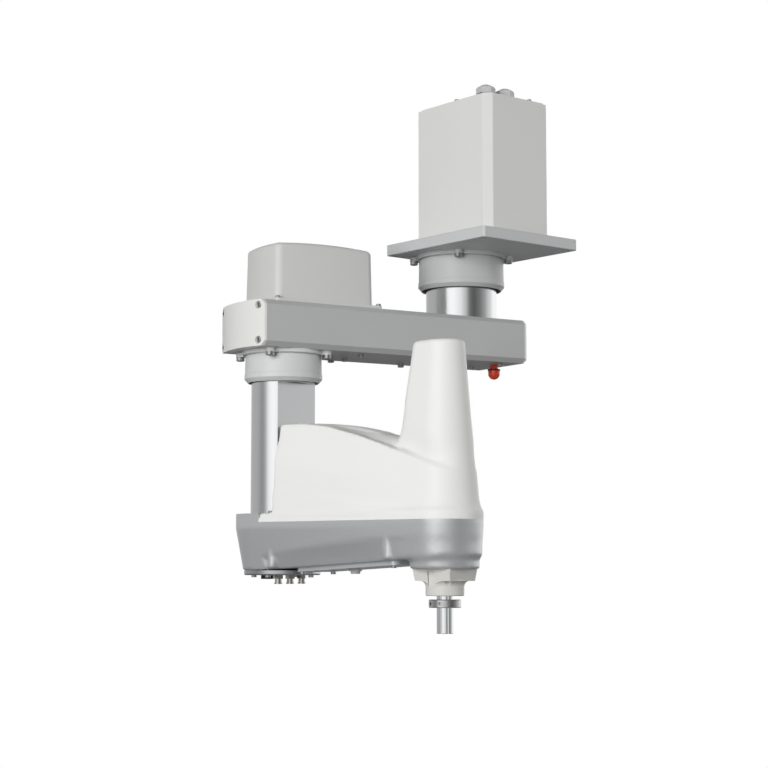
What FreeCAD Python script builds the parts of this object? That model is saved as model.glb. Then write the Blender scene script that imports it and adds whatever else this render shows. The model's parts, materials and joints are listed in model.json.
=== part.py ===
import FreeCAD, Part
import math
import os
from FreeCAD import Vector

# Ceiling-mounted SCARA robot, in millimetres.
# Origin: centre of the four ceiling bolts, on the top face of the mounting plate.
# +Z points up into the ceiling, +X to the side that the first axis is offset to.

# Reach and stored pose
reach_1 = 225.0
reach_2 = 225.0
heading_1 = 82.0
turn_2 = 105.4
fit_gap = 0.05
body_gap = 0.3

# Mounting plate
plate_length = 162.0
plate_width = 140.0
plate_thick = 12.0
plate_corner = 2.5
plate_edge = 0.6
bolt_inset = 6.0
bolt_hole_r = 3.5
dowel_r = 2.0
dowel_from_bolt = 39.0
index_from_bolt = 22.0
index_hole_r = 1.5
axis_1_inset = 48.0
register_r = 30.0
register_2_height = 15.0

# Base cover, a bent sheet box with a lid
cover_inset_x = 21.0
cover_inset_y = 25.5
cover_height = 151.0
cover_chamfer = 8.0
cover_bend = 1.6
sheet = 1.5
return_flange = 10.0
lid_inset = 3.0
lid_thick = 2.0
lid_screw_inset = 4.5
lid_screw_y = 25.0
gland_x = -42.0
gland_y = 30.0
gland_pitch = 28.0
gland_flats = 18.5
gland_turn = -9.3
gland_body = 7.0
gland_dome = 3.4
gland_dome_r = 8.0
gland_thread_r = 7.0
gland_bore_r = 4.0
gland_seal = 1.8

# Servo motors of the two arms
motor_size = 40.0
motor_corner = 3.0
motor_1_length = 98.0
motor_2_length = 80.0
encoder_length = 22.0
motor_plug = 12.0
motor_clear = 2.0

# First joint: bearing housing under the plate and the column that it carries
housing_1_r = 47.6
housing_1_height = 39.2
ear_1_r = 53.0
column_1_r = 39.5
# Second joint: the same parts under the end of arm 1
housing_2_r = 40.3
housing_2_height = 33.2
ear_2_r = 47.5
column_2_r = 33.5
housing_wall = 3.6
housing_flange = 4.2
flange_step = 3.0
flange_rim = 0.8
housing_groove = 1.2
groove_depth = 1.2
lip_step = 0.5
lip_height = 5.5
lip_chamfer = 4.0
lip_foot = 0.5
band_draft = 0.3
ear_tip_r = 4.6
seal_recess = 1.5
seal_height = 3.0
seal_clear = 0.4
reducer_height = 17.0
column_wall = 9.0

# Arm 1, an aluminium box beam with two end caps
beam_top = -85.0
beam_height = 48.0
beam_half = 48.5
beam_edge = 5.0
beam_wall = 4.0
beam_tail = 51.9
beam_nose = 45.4
tail_cap = 3.0
nose_cap = 2.4
cap_rim = 12.0
nose_bow = 10.0
cap_screw_y = 40.0
cap_screw_z = 18.0
cap_bore_r = 3.9
cap_bore_depth = 3.6
cable_window_r = 27.0

# Motor cover on the free end of arm 1
hood_back = 88.5
hood_front = 27.5
hood_half = 36.5
hood_height = 65.0
hood_wall = 2.0
hood_corner = 8.0
hood_bow = 3.0
hood_crown = 2.4
hood_draft = 1.2
hood_edge = 5.0
hood_lip = 3.0
hood_lip_back = 8.3
hood_lip_front = 4.0
hood_lip_side = 6.0
hood_screw_inset = 3.6

# Signal lamp and bracket screws under arm 1
lamp_x = -34.0
lamp_y = 14.3
lamp_neck_r = 4.5
lamp_neck_height = 5.0
lamp_ring_r = 7.0
lamp_ring_height = 1.8
lamp_lens_r = 6.6
lamp_lens_height = 3.2
belly_screws = ((147.0, -36.5), (139.0, -20.0), (143.0, 22.0), (56.0, -38.5), (56.0, 38.5))
lamp_screws = ((-25.5, -17.3), (-33.0, 27.5))

# Arm 2 casting
arm_drop = 179.0
boss_height = 9.0
arm_r_2 = 48.5
arm_r_z = 37.3
rim_depth = 6.0
belly_depth = 49.0
belly_r_2 = 40.6
belly_slope = 0.0533
crease_depth = 34.5
crease_slope = 0.085
crease_r_2 = 43.7
crease_r_z = 36.9
flank_run_2 = 0.6
flank_run_z = 0.07
flank_reach = 34.0
hinge_end_r = 44.5
barrel_depth = 32.0
barrel_foot_r = 35.9
neck_r = 33.3
neck_height = 15.0
flute_r = 5.0
flute_out = 0.8
flute_front = 42.0
flute_rear_x = 27.0
rim_wall = 6.4
tub_wall = 12.5
floor_thick = 5.0
hinge_boss_r = 36.0
nose_boss_r = 30.0
nose_boss_drop = 18.0
boss_split = 14.5
belly_plate_thick = 4.2
belly_plate_start = 46.0
belly_plate_gap = 39.0
belly_plate_half = 27.0
belly_plate_corner = 8.0

# Column of arm 2
column_flat = 20.0

# Arm 2 cover, a moulded shell with a tower over the shaft
shell = 2.5
shell_back = 32.0
shell_screw_inset = 8.0
shell_screw_y = 39.5
shell_lean = 7.5
crown_height = 107.0
shell_top_r_2 = 46.0
shell_side_r_z = 23.5
waist_rise = 64.0
waist_slope = -0.135
# Waist sections: height over the waist line, radius at the hinge, radius at the shaft
waist_stations = ((-36.0, 48.5, 37.3), (-22.0, 47.4, 34.0), (0.0, 47.3, 32.4), (60.0, 40.8, 26.0))
tower_round = 3.5
tower_back_round = 9.0
# Shoulder sections: distance before the shaft, ridge and spine height over the seam
shoulder_stations = (
    (205.0, 99.0, 100.0),
    (163.0, 98.6, 99.8),
    (125.0, 94.2, 96.8),
    (85.0, 83.8, 89.4),
    (45.0, 71.4, 79.8),
    (0.0, 56.0, 67.0),
    (-43.0, 42.5, 52.0),
)
spine_half = 15.0
spine_foot = 36.0
spine_dip = 2.2
# Tower sections: height over the seam, radius at the shaft, rear half width, reach back
tower_stations = (
    (0.0, 37.3, 37.3, 60.0),
    (20.0, 33.2, 33.2, 60.0),
    (39.0, 31.6, 31.6, 60.0),
    (56.0, 29.9, 28.6, 59.0),
    (70.0, 28.5, 25.6, 51.5),
    (84.0, 27.2, 24.0, 43.0),
    (100.0, 25.6, 22.8, 38.6),
    (169.4, 20.3, 18.6, 28.6),
)

# Shaft, nuts and drives in arm 2
shaft_r = 8.0
shaft_bore_r = 5.5
shaft_top = -143.5
shaft_foot = -420.5
shaft_chamfer = 0.5
spline_groove_r = 1.4
spline_groove_angles = (-30.0, -78.0, 120.0)
relief_depth = 0.4
relief_width = 1.2
stroke = 130.0
nut_wall = 5.5
nut_recess = 2.5
nut_level_gap = 2.0
stop_margin = 1.0
bearing_r = 22.0
bearing_lift = 2.0
bearing_height = 20.0
u_drop = 10.0
z_rise = 4.0
pulley_height = 9.0
pulley_rim = 1.2
belt_width = 7.6
belt_thick = 1.8
belt_gap = 0.3
driven_pulley_r = 21.5
u_motor_pulley_r = 10.75
z_motor_pulley_r = 14.3333
u_motor_offset = 0.75
z_motor_back = 87.0
u_motor_length = 80.0
z_motor_length = 52.0
motor_plate = 4.0
u_plate_half = 40.2
u_plate_edge = 2.0
z_plate_half = 35.0
z_plate_edge = 1.0
bridge_height = 9.0
bridge_inner = 24.8
bridge_leg = 3.2
bridge_half_x = 11.0
ball_bearing_r = 18.0

# Lower bushing, stop collar and top stop on the shaft
bushing_half_x = 24.0
bushing_half_y = 20.6
bushing_edge = 1.6
bushing_draft = 1.6
bushing_flange = 11.5
bushing_r = 18.5
bushing_fillet = 5.5
bushing_height = 25.7
bushing_lip = 2.2
bushing_bore_r = 14.6
shaft_opening_r = 8.8
notch_width = 9.6
notch_height = 9.0
notch_depth = 3.4
bushing_screw_x = 17.5
bushing_screw_y = 14.0
collar_r = 15.6
collar_height = 7.8
collar_gap = 3.4
collar_slit = 3.4
collar_slit_angle = -30.0
collar_screw_r = 1.7
collar_screw_angles = (-66.0, -112.0)
collar_screw_depth = 4.0
top_stop_height = 5.5
top_stop_r = 12.5

# Connector plate under the column
disc_r = 39.7
disc_thick = 5.0
plug_x = -8.0
plug_y = -14.0
plug_r = 6.5
plug_height = 4.0
fitting_x = 15.0
fitting_y = -20.0
fitting_pitch = 16.7
fitting_r = 4.6
fitting_height = 9.0
disc_screw_r = 33.0

# Brake release button under arm 2
button_back = 119.0
button_r = 4.8
button_height = 2.5
button_fit = 0.08
bezel_r = 6.4
bezel_height = 2.3

# Screws: head radius, head height, shank radius
m3 = (2.85, 2.4, 1.5)
m4 = (3.6, 3.0, 2.0)
m5 = (4.4, 4.2, 2.5)
shank_length = 8.0
socket_share = 0.55

# Values worked out from the ones above
bolt_spacing_x = plate_length - 2 * bolt_inset
bolt_spacing_y = plate_width - 2 * bolt_inset
axis_1_x = plate_length / 2 - axis_1_inset
cover_front = axis_1_x + motor_size / 2 + motor_clear
cover_back = cover_inset_x - plate_length / 2
cover_length = cover_front - cover_back
cover_centre_x = (cover_front + cover_back) / 2
cover_width = plate_width - 2 * cover_inset_y
plate_foot = -plate_thick
beam_foot = beam_top - beam_height
beam_middle = beam_top - beam_height / 2
housing_1_foot = plate_foot - housing_1_height
housing_2_foot = beam_foot - housing_2_height
seam = beam_foot - arm_drop
boss_top = seam + boss_height
crown = seam + crown_height
waist_start = seam + waist_rise
belly_end = seam - belly_depth
crease_start = seam - crease_depth
barrel_foot = seam - barrel_depth
neck_foot = barrel_foot - neck_height
nose_boss_top = seam - nose_boss_drop
belly_plate_end = reach_2 - belly_plate_gap
button_x = reach_2 - button_back
z_motor_x = reach_2 - z_motor_back
z_plate_back = z_motor_x - motor_size / 2 - z_plate_edge
u_motor_x = (shell_back + shell + z_plate_back) / 2 - u_motor_offset
u_level = seam - u_drop
z_level = seam + z_rise
bearing_foot = neck_foot + bearing_lift
bearing_top = bearing_foot + bearing_height
bushing_foot = neck_foot - bushing_height
spline_nut_foot = bushing_foot + nut_recess
spline_nut_top = u_level + pulley_height + nut_level_gap
ball_nut_foot = spline_nut_top + nut_level_gap
collar_top = bushing_foot - collar_gap
collar_foot = collar_top - collar_height
disc_top = belly_end
arm_deep = belly_end - 2 * bushing_height
arm_wide = 2 * arm_r_2
arm_far = reach_2 + 2 * arm_r_2
ball_nut_top = shaft_top - top_stop_height - stroke - stop_margin


def cylinder(r, low, high, x=0.0, y=0.0):
    return Part.makeCylinder(r, high - low, Vector(x, y, low))


def tube(outer, inner, low, high, x=0.0, y=0.0):
    return cylinder(outer, low, high, x, y).cut(cylinder(inner, low, high, x, y))


def cone(r_low, r_high, low, high, x=0.0, y=0.0):
    return Part.makeCone(r_low, r_high, high - low, Vector(x, y, low))


def block(x_low, x_high, y_low, y_high, low, high):
    return Part.makeBox(x_high - x_low, y_high - y_low, high - low, Vector(x_low, y_low, low))


def fuse(*shapes):
    whole = shapes[0].multiFuse(list(shapes[1:])) if len(shapes) > 1 else shapes[0]
    return whole.removeSplitter()


def closed_face(edges):
    return Part.Face(Part.Wire(edges))


def rounded_block(x_low, x_high, y_low, y_high, low, high, r):
    body = block(x_low, x_high, y_low, y_high, low, high)
    upright = [e for e in body.Edges if abs(e.tangentAt(e.FirstParameter).z) > 0.9]
    return body.makeFillet(r, upright)


def revolved(profile, x=0.0, y=0.0):
    points = [Vector(r, 0, z) for r, z in profile]
    face = Part.Face(Part.makePolygon(points + points[:1]))
    body = face.revolve(Vector(0, 0, 0), Vector(0, 0, 1), 360)
    body.translate(Vector(x, y, 0))
    return body


def screw_down(size, x, y, seat):
    """A cap screw with its head above the seat and its shank below it."""
    head_r, head_height, shank_r = size
    chamfer = head_height / 6
    top = seat + head_height
    head = cylinder(head_r, seat, top - chamfer, x, y)
    crown_part = cone(head_r, head_r - chamfer, top - chamfer, top, x, y)
    socket = hexagon(2 * head_r * socket_share, top - head_height * socket_share, top, x, y)
    return fuse(head, crown_part, cylinder(shank_r, seat - shank_length, seat, x, y)).cut(socket)


def screw_up(size, x, y, seat):
    """The same screw put in from below, with its head under the seat."""
    body = screw_down(size, x, y, 0.0)
    body = body.mirror(Vector(0, 0, 0), Vector(0, 0, 1))
    body.translate(Vector(0, 0, seat))
    return body


def screw_hole(size, x, y, low, high):
    return cylinder(size[2] + fit_gap, low, high, x, y)


def on_arm_1(shape):
    moved = shape.copy()
    moved.rotate(Vector(0, 0, 0), Vector(0, 0, 1), heading_1)
    moved.translate(Vector(axis_1_x, 0, 0))
    return moved


def on_arm_2(shape):
    moved = shape.copy()
    moved.rotate(Vector(0, 0, 0), Vector(0, 0, 1), turn_2)
    moved.translate(Vector(reach_1, 0, 0))
    return on_arm_1(moved)


def diagonal_points(radius):
    side = radius * math.sqrt(0.5)
    return [(sx * side, sy * side) for sx in (-1, 1) for sy in (-1, 1)]


def corners(x, y):
    return [(sx * x, sy * y) for sx in (-1, 1) for sy in (-1, 1)]


# Base
def housing_screw_points(ear_r):
    return diagonal_points(ear_r)


def base_plate():
    body = block(-plate_length / 2, plate_length / 2, -plate_width / 2, plate_width / 2, plate_foot, 0)
    upright = [e for e in body.Edges if abs(e.tangentAt(e.FirstParameter).z) > 0.9]
    body = body.makeChamfer(plate_corner, upright)
    rims = [e for e in body.Edges if abs(e.tangentAt(e.FirstParameter).z) < 0.1]
    body = body.makeChamfer(plate_edge, rims)
    holes = [cylinder(register_r, plate_foot, 0, axis_1_x)]
    for x, y in corners(bolt_spacing_x / 2, bolt_spacing_y / 2):
        holes.append(cylinder(bolt_hole_r, plate_foot, 0, x, y))
    for side in (-1, 1):
        holes.append(cylinder(bolt_hole_r, plate_foot, 0, 0, side * bolt_spacing_y / 2))
    dowel_x = bolt_spacing_x / 2 - dowel_from_bolt
    index_x = bolt_spacing_x / 2 - index_from_bolt
    holes.append(cylinder(dowel_r, plate_foot, 0, dowel_x, bolt_spacing_y / 2))
    holes.append(cylinder(index_hole_r, plate_foot, 0, index_x, bolt_spacing_y / 2))
    holes.append(cylinder(index_hole_r, plate_foot, 0, -bolt_spacing_x / 2, 0))
    for x, y in housing_screw_points(ear_1_r):
        holes.append(screw_hole(m5, axis_1_x + x, y, plate_foot, plate_foot + shank_length))
    for x, y in base_foot_points():
        holes.append(screw_hole(m3, x, y, -shank_length, 0))
    return body.cut(Part.makeCompound(holes))


def base_foot_points():
    half_y = cover_width / 2 - sheet - return_flange / 2
    back_x = cover_back + sheet + return_flange / 2 + cover_chamfer
    return [(back_x, half_y), (back_x, -half_y), (cover_centre_x, half_y), (cover_centre_x, -half_y)]


def cover_box(inset, low, high):
    """The box of the base cover with its one flat corner, smaller by the inset."""
    x_low, x_high = cover_back + inset, cover_front - inset
    half = cover_width / 2 - inset
    flat = cover_chamfer - inset * (2 - math.sqrt(2))
    plan = [(x_low, -half), (x_high, -half), (x_high, half), (x_low + flat, half), (x_low, half - flat)]
    points = [Vector(x, y, low) for x, y in plan]
    body = Part.Face(Part.makePolygon(points + points[:1])).extrude(Vector(0, 0, high - low))
    upright = [e for e in body.Edges if abs(e.tangentAt(e.FirstParameter).z) > 0.9]
    return body.makeFillet(max(cover_bend - inset, 0.2), upright)


def base_cover():
    body = cover_box(0, 0, cover_height)
    body = body.cut(cover_box(sheet, sheet, cover_height - sheet))
    body = body.cut(cover_box(sheet + return_flange, cover_height - sheet, cover_height))
    opening = block(
        cover_back + sheet + return_flange,
        cover_front - sheet,
        -cover_width / 2 + sheet + return_flange,
        cover_width / 2 - sheet - return_flange,
        0,
        sheet,
    )
    body = body.cut(opening)
    holes = [screw_hole(m3, x, y, 0, sheet) for x, y in base_foot_points()]
    for x, y in lid_screw_points():
        holes.append(screw_hole(m3, x, y, cover_height - sheet, cover_height))
    for x, y in gland_points():
        holes.append(cylinder(gland_thread_r + 1.0, cover_height - sheet, cover_height, x, y))
    return body.cut(fuse(*holes))


def lid_screw_points():
    end_x = cover_length / 2 - lid_inset - lid_screw_inset
    side_y = cover_width / 2 - lid_inset - lid_screw_inset
    points = [(cover_centre_x, side_y), (cover_centre_x, -side_y), (cover_centre_x - end_x, -lid_screw_y)]
    return points + [(cover_centre_x + end_x, side * lid_screw_y) for side in (-1, 1)]


def gland_points():
    return [(gland_x, gland_y - i * gland_pitch) for i in range(2)]


def base_lid():
    body = cover_box(lid_inset, cover_height, cover_height + lid_thick)
    holes = [screw_hole(m3, x, y, cover_height, cover_height + lid_thick) for x, y in lid_screw_points()]
    for x, y in gland_points():
        holes.append(cylinder(gland_thread_r, cover_height, cover_height + lid_thick, x, y))
    return body.cut(Part.makeCompound(holes))


def hexagon(flats, low, high, x, y):
    r = flats / math.sqrt(3)
    angles = [math.pi * k / 3 for k in range(6)]
    points = [Vector(x + r * math.cos(a), y + r * math.sin(a), low) for a in angles]
    return Part.Face(Part.makePolygon(points + points[:1])).extrude(Vector(0, 0, high - low))


def gland(x, y):
    seat = cover_height + lid_thick + gland_seal
    thread = tube(gland_thread_r - fit_gap, gland_bore_r, seat - gland_seal - 6.0, seat)
    top = seat + gland_body
    nut = hexagon(gland_flats, seat, top, 0, 0)
    bevel = cone(gland_flats / 2 + 1.6, gland_flats / 2, top - 1.6, top)
    nut = nut.common(fuse(cylinder(gland_flats, seat, top - 1.6), bevel))
    dome_r = (gland_dome_r ** 2 + gland_dome ** 2) / (2 * gland_dome)
    dome = Part.makeSphere(dome_r, Vector(0, 0, top + gland_dome - dome_r))
    dome = dome.common(cylinder(gland_dome_r, top, top + gland_dome))
    body = fuse(nut, dome).cut(cylinder(gland_bore_r, seat, top + gland_dome))
    body = fuse(body, thread)
    body.rotate(Vector(0, 0, 0), Vector(0, 0, 1), gland_turn)
    body.translate(Vector(x, y, 0))
    return body


def gland_seal_ring(x, y):
    seat = cover_height + lid_thick
    return tube(gland_flats / 2 - 1.4, gland_thread_r, seat, seat + gland_seal, x, y)


def motor(length, foot, x=0.0, y=0.0):
    half = motor_size / 2
    split = foot + length - encoder_length
    body = rounded_block(x - half, x + half, y - half, y + half, foot, split, motor_corner)
    inset = 1.5
    low, high = half - inset, foot + length
    rear = rounded_block(x - low, x + low, y - low, y + low, split, high, motor_corner)
    plug_low = split + 4.0
    plug_y = y + half - inset
    plug_half = motor_plug / 2
    plug = block(x - plug_half, x + plug_half, plug_y, plug_y + plug_half, plug_low, plug_low + motor_plug)
    return fuse(body, rear, plug)


def bearing_housing(r, seat, height, ear_r):
    """Flange with four ears, groove, band and chamfered lip around one joint axis."""
    foot = seat - height
    bore = r - housing_wall
    rim_r = r + flange_step
    flange_foot = seat - housing_flange
    band_top = flange_foot - housing_groove
    lip_top = foot + lip_chamfer + lip_height
    profile = [
        (bore, seat),
        (rim_r, seat),
        (rim_r, flange_foot + flange_rim),
        (rim_r - flange_rim, flange_foot),
        (r - groove_depth, flange_foot),
        (r - groove_depth, band_top),
        (r - band_draft, band_top),
        (r, lip_top),
        (r + lip_step, lip_top - lip_step),
        (r + lip_step, foot + lip_chamfer),
        (bore + lip_foot, foot),
        (bore, foot),
    ]
    body = revolved(profile)
    tabs = []
    for x, y in diagonal_points(ear_r):
        reach = math.hypot(x, y)
        tip = cylinder(ear_tip_r, flange_foot, seat, reach, 0)
        tab = fuse(tip, block(r, reach, -ear_tip_r, ear_tip_r, flange_foot, seat))
        tab.rotate(Vector(0, 0, 0), Vector(0, 0, 1), math.degrees(math.atan2(y, x)))
        tabs.append(tab)
    body = fuse(body, *tabs)
    holes = [screw_hole(m5, x, y, seat - housing_flange, seat) for x, y in diagonal_points(ear_r)]
    return body.cut(Part.makeCompound(holes))


def housing_screws(seat, ear_r):
    return [screw_up(m5, x, y, seat - housing_flange) for x, y in diagonal_points(ear_r)]


def seal_ring(r, column_r, foot):
    low = foot + seal_recess
    return tube(r - housing_wall - fit_gap, column_r + seal_clear, low, low + seal_height)


def reducer(r, seat, register_top):
    body = cylinder(r - housing_wall - fit_gap, seat - reducer_height, seat)
    return fuse(body, cylinder(register_r - fit_gap, seat, register_top))


def column(r, low, high):
    body = tube(r, r - column_wall, low, high)
    return body


# Arm 1
def beam_section(inset, edge):
    half = beam_half - inset
    low = beam_foot + inset
    high = beam_top - inset
    body = block(0, 1, -half, half, low, high)
    along = [e for e in body.Edges if abs(e.tangentAt(e.FirstParameter).x) > 0.9]
    return body.makeChamfer(edge, along)


def beam_bar(inset, edge, x_low, x_high):
    section = beam_section(inset, edge)
    face = [f for f in section.Faces if abs(f.CenterOfMass.x) < 1e-6][0]
    bar = face.extrude(Vector(x_high - x_low, 0, 0))
    bar.translate(Vector(x_low, 0, 0))
    return bar


def end_cap_points():
    return [(y, beam_middle + z) for y, z in corners(cap_screw_y, cap_screw_z)]


def arm_1_beam():
    nose = reach_1 + beam_nose
    body = beam_bar(0, beam_edge, -beam_tail, nose)
    body = body.cut(beam_bar(beam_wall, beam_edge / 2, -beam_tail, nose))
    lugs = []
    lug_length = shank_length + 2.0
    for y, z in end_cap_points():
        for x_low, x_high in ((-beam_tail, lug_length - beam_tail), (nose - lug_length, nose)):
            lug = Part.makeCylinder(m4[2] + 2.4, x_high - x_low, Vector(x_low, y, z), Vector(1, 0, 0))
            hole = Part.makeCylinder(m4[2] + fit_gap, x_high - x_low, Vector(x_low, y, z), Vector(1, 0, 0))
            lugs.append((lug, hole))
    body = fuse(body, *[lug.common(beam_bar(1.0, beam_edge / 2, -beam_tail, nose)) for lug, hole in lugs])
    cuts = [hole for lug, hole in lugs]
    cuts.append(cylinder(cable_window_r, beam_top - beam_wall, beam_top))
    cuts.append(cylinder(register_r, beam_foot, beam_foot + beam_wall, reach_1))
    window = motor_size / 2 + motor_clear
    back = reach_1 - hood_back + hood_corner + hood_wall
    cuts.append(rounded_block(back, reach_1 + window, -window, window, beam_top - beam_wall, beam_top, 4.0))
    for x, y in belly_screws + lamp_screws:
        cuts.append(screw_hole(m4, x, y, beam_foot, beam_foot + beam_wall))
    for x, y in hood_screw_points():
        cuts.append(screw_hole(m3, x, y, beam_top - beam_wall, beam_top))
    for x, y in diagonal_points(ear_2_r):
        cuts.append(screw_hole(m5, reach_1 + x, y, beam_foot, beam_foot + shank_length))
    cuts.append(cylinder(lamp_neck_r - 1.0, beam_foot, beam_foot + beam_wall, lamp_x, lamp_y))
    return body.cut(Part.makeCompound(cuts))


def bowed_plate(root, edge, bow, half, low, high):
    """A plate in plan with a straight back at root and a bowed front that starts at edge."""
    a = Vector(root, -half, low)
    b = Vector(edge, -half, low)
    middle = Vector(edge + bow, 0, low)
    c = Vector(edge, half, low)
    d = Vector(root, half, low)
    outline = [
        Part.LineSegment(a, b).toShape(),
        Part.Arc(b, middle, c).toShape(),
        Part.LineSegment(c, d).toShape(),
        Part.LineSegment(d, a).toShape(),
    ]
    return closed_face(outline).extrude(Vector(0, 0, high - low))


def nose_cap_seat(y):
    """How far the bowed front stands out at a distance y from the middle."""
    r = (beam_half ** 2 + nose_bow ** 2) / (2 * nose_bow)
    return math.sqrt(r ** 2 - y ** 2) - (r - nose_bow)


def distal_end_cap():
    root = reach_1 + beam_nose
    edge = root + nose_cap
    outer = bowed_plate(root, edge, nose_bow, beam_half, beam_foot, beam_top)
    outer = outer.common(beam_bar(0, beam_edge, root, edge + nose_bow))
    inner = bowed_plate(root, root + 0.5, nose_bow, beam_half - cap_rim, beam_foot + cap_rim, beam_top - cap_rim)
    body = outer.cut(inner)
    seat = edge + nose_cap_seat(cap_screw_y) - cap_bore_depth
    cuts = []
    for y, z in end_cap_points():
        cuts.append(Part.makeCylinder(cap_bore_r, 2 * nose_bow, Vector(seat, y, z), Vector(1, 0, 0)))
        cuts.append(Part.makeCylinder(m4[2] + fit_gap, 2 * nose_bow, Vector(root, y, z), Vector(1, 0, 0)))
    return body.cut(Part.makeCompound(cuts))


def proximal_end_cap():
    root = -beam_tail
    body = beam_bar(0, beam_edge, root - tail_cap, root)
    rim = [e for e in body.Edges if e.BoundBox.XMax < root - tail_cap + 0.01]
    body = body.makeChamfer(tail_cap / 3, rim)
    cuts = []
    for y, z in end_cap_points():
        cuts.append(Part.makeCylinder(m4[2] + fit_gap, tail_cap, Vector(root, y, z), Vector(-1, 0, 0)))
    return body.cut(Part.makeCompound(cuts))


def end_cap_screws():
    screws = []
    front_seat = reach_1 + beam_nose + nose_cap + nose_cap_seat(cap_screw_y) - cap_bore_depth
    back_seat = -beam_tail - tail_cap
    for y, z in end_cap_points():
        for seat, side, size in ((front_seat, 1, m4), (back_seat, -1, m4)):
            body = screw_down(size, 0, 0, 0)
            body.rotate(Vector(0, 0, 0), Vector(0, 1, 0), 90 * side)
            body.translate(Vector(seat, y, z))
            screws.append(body)
    return screws


def bowed_outline(x_low, x_high, half, bow, z):
    """Rectangle in plan with four slightly bowed sides."""
    middle = (x_low + x_high) / 2
    a, b = Vector(x_low, -half, z), Vector(x_high, -half, z)
    c, d = Vector(x_high, half, z), Vector(x_low, half, z)
    return [
        Part.Arc(a, Vector(middle, -half - bow, z), b).toShape(),
        Part.Arc(b, Vector(x_high + bow, 0, z), c).toShape(),
        Part.Arc(c, Vector(middle, half + bow, z), d).toShape(),
        Part.Arc(d, Vector(x_low - bow, 0, z), a).toShape(),
    ]


def hood_form(inset):
    """The drafted block of the motor cover with bowed sides and a domed top."""
    x_low = reach_1 - hood_back + inset
    x_high = reach_1 + hood_front - inset
    half = hood_half - inset
    top = beam_top + hood_height - inset
    foot_wire = Part.Wire(bowed_outline(x_low, x_high, half, hood_bow, beam_top))
    draft = hood_draft
    top_wire = Part.Wire(bowed_outline(x_low + draft, x_high - draft, half - draft, hood_bow, top))
    body = Part.makeLoft([foot_wire, top_wire], True, True)
    upright = [e for e in body.Edges if abs(e.tangentAt(e.FirstParameter).z) > 0.9]
    body = body.makeFillet(hood_corner - inset, upright)
    ball_r = (x_high - x_low) ** 2 / (8 * hood_crown)
    body = body.common(Part.makeSphere(ball_r, Vector((x_low + x_high) / 2, 0, top - ball_r)))
    rim = [e for e in body.Edges if e.BoundBox.ZMin > top - 3 * hood_crown]
    return body.makeFillet(hood_edge - inset, rim)


def hood_lip_box(inset):
    return (
        reach_1 - hood_back - hood_lip_back + inset,
        reach_1 + hood_front + hood_lip_front - inset,
        hood_half + hood_lip_side - inset,
    )


def hood_screw_points():
    back, front, half = hood_lip_box(hood_screw_inset)
    return [(x, side * half) for x in (back, front) for side in (-1, 1)]


def j2_motor_cover():
    back, front, half = hood_lip_box(0)
    lip = rounded_block(back, front, -half, half, beam_top, beam_top + hood_lip, hood_corner / 2)
    body = fuse(hood_form(0), lip)
    holes = [screw_hole(m3, x, y, beam_top, beam_top + hood_lip) for x, y in hood_screw_points()]
    return body.cut(Part.makeCompound([hood_form(hood_wall)] + holes))


def lamp_ring_top():
    return beam_foot - lamp_neck_height


def lamp_ring():
    top = lamp_ring_top()
    return tube(lamp_ring_r, lamp_neck_r - 1.0, top - lamp_ring_height, top, lamp_x, lamp_y)


def lamp_lens():
    """Neck under the beam, a stem through the ring and the dome below it."""
    foot = lamp_ring_top() - lamp_ring_height
    middle = foot - lamp_lens_height
    neck = cylinder(lamp_neck_r, lamp_ring_top(), beam_foot, lamp_x, lamp_y)
    stem = cylinder(lamp_neck_r - 1.0 - fit_gap, foot, beam_foot + beam_wall, lamp_x, lamp_y)
    drum = cylinder(lamp_lens_r, middle, foot, lamp_x, lamp_y)
    ball = Part.makeSphere(lamp_lens_r, Vector(lamp_x, lamp_y, middle))
    dome = ball.common(cylinder(lamp_lens_r, middle - lamp_lens_r, middle, lamp_x, lamp_y))
    return fuse(neck, stem, drum, dome)


# Arm 2 casting
def hull_edges(r_hinge, r_nose, z):
    """Outline in plan around the two circles of arm 2."""
    angle = math.acos((r_hinge - r_nose) / reach_2)
    c, s = math.cos(angle), math.sin(angle)
    a = Vector(r_hinge * c, r_hinge * s, z)
    b = Vector(reach_2 + r_nose * c, r_nose * s, z)
    d = Vector(r_hinge * c, -r_hinge * s, z)
    e = Vector(reach_2 + r_nose * c, -r_nose * s, z)
    return [
        Part.Arc(a, Vector(-r_hinge, 0, z), d).toShape(),
        Part.LineSegment(d, e).toShape(),
        Part.Arc(e, Vector(reach_2 + r_nose, 0, z), b).toShape(),
        Part.LineSegment(b, a).toShape(),
    ]


def hull_prism(r_hinge, r_nose, low, high):
    return closed_face(hull_edges(r_hinge, r_nose, low)).extrude(Vector(0, 0, high - low))


def hull_loft(low_radii, low, high_radii, high):
    sections = [Part.Wire(hull_edges(*low_radii, low)), Part.Wire(hull_edges(*high_radii, high))]
    return Part.makeLoft(sections, True, True)


def sloped_box(height_at_hinge, slope):
    """A wide block whose top is a plane that rises along the arm."""
    body = block(-arm_wide, arm_far, -arm_wide, arm_wide, arm_deep - belly_end, 0)
    body.rotate(Vector(0, 0, 0), Vector(0, 1, 0), -math.degrees(math.atan(slope)))
    body.translate(Vector(0, 0, height_at_hinge))
    return body


def belly_height(x):
    return belly_end + belly_slope * x


def crease_height(x):
    return crease_start + crease_slope * x


def flute_centres():
    points = []
    for x in (flute_rear_x, reach_2 - flute_front):
        half = crease_r_2 + (crease_r_z - crease_r_2) * x / reach_2
        for side in (-1, 1):
            points.append((x, side * (half - flute_r + flute_out)))
    return points


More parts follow.
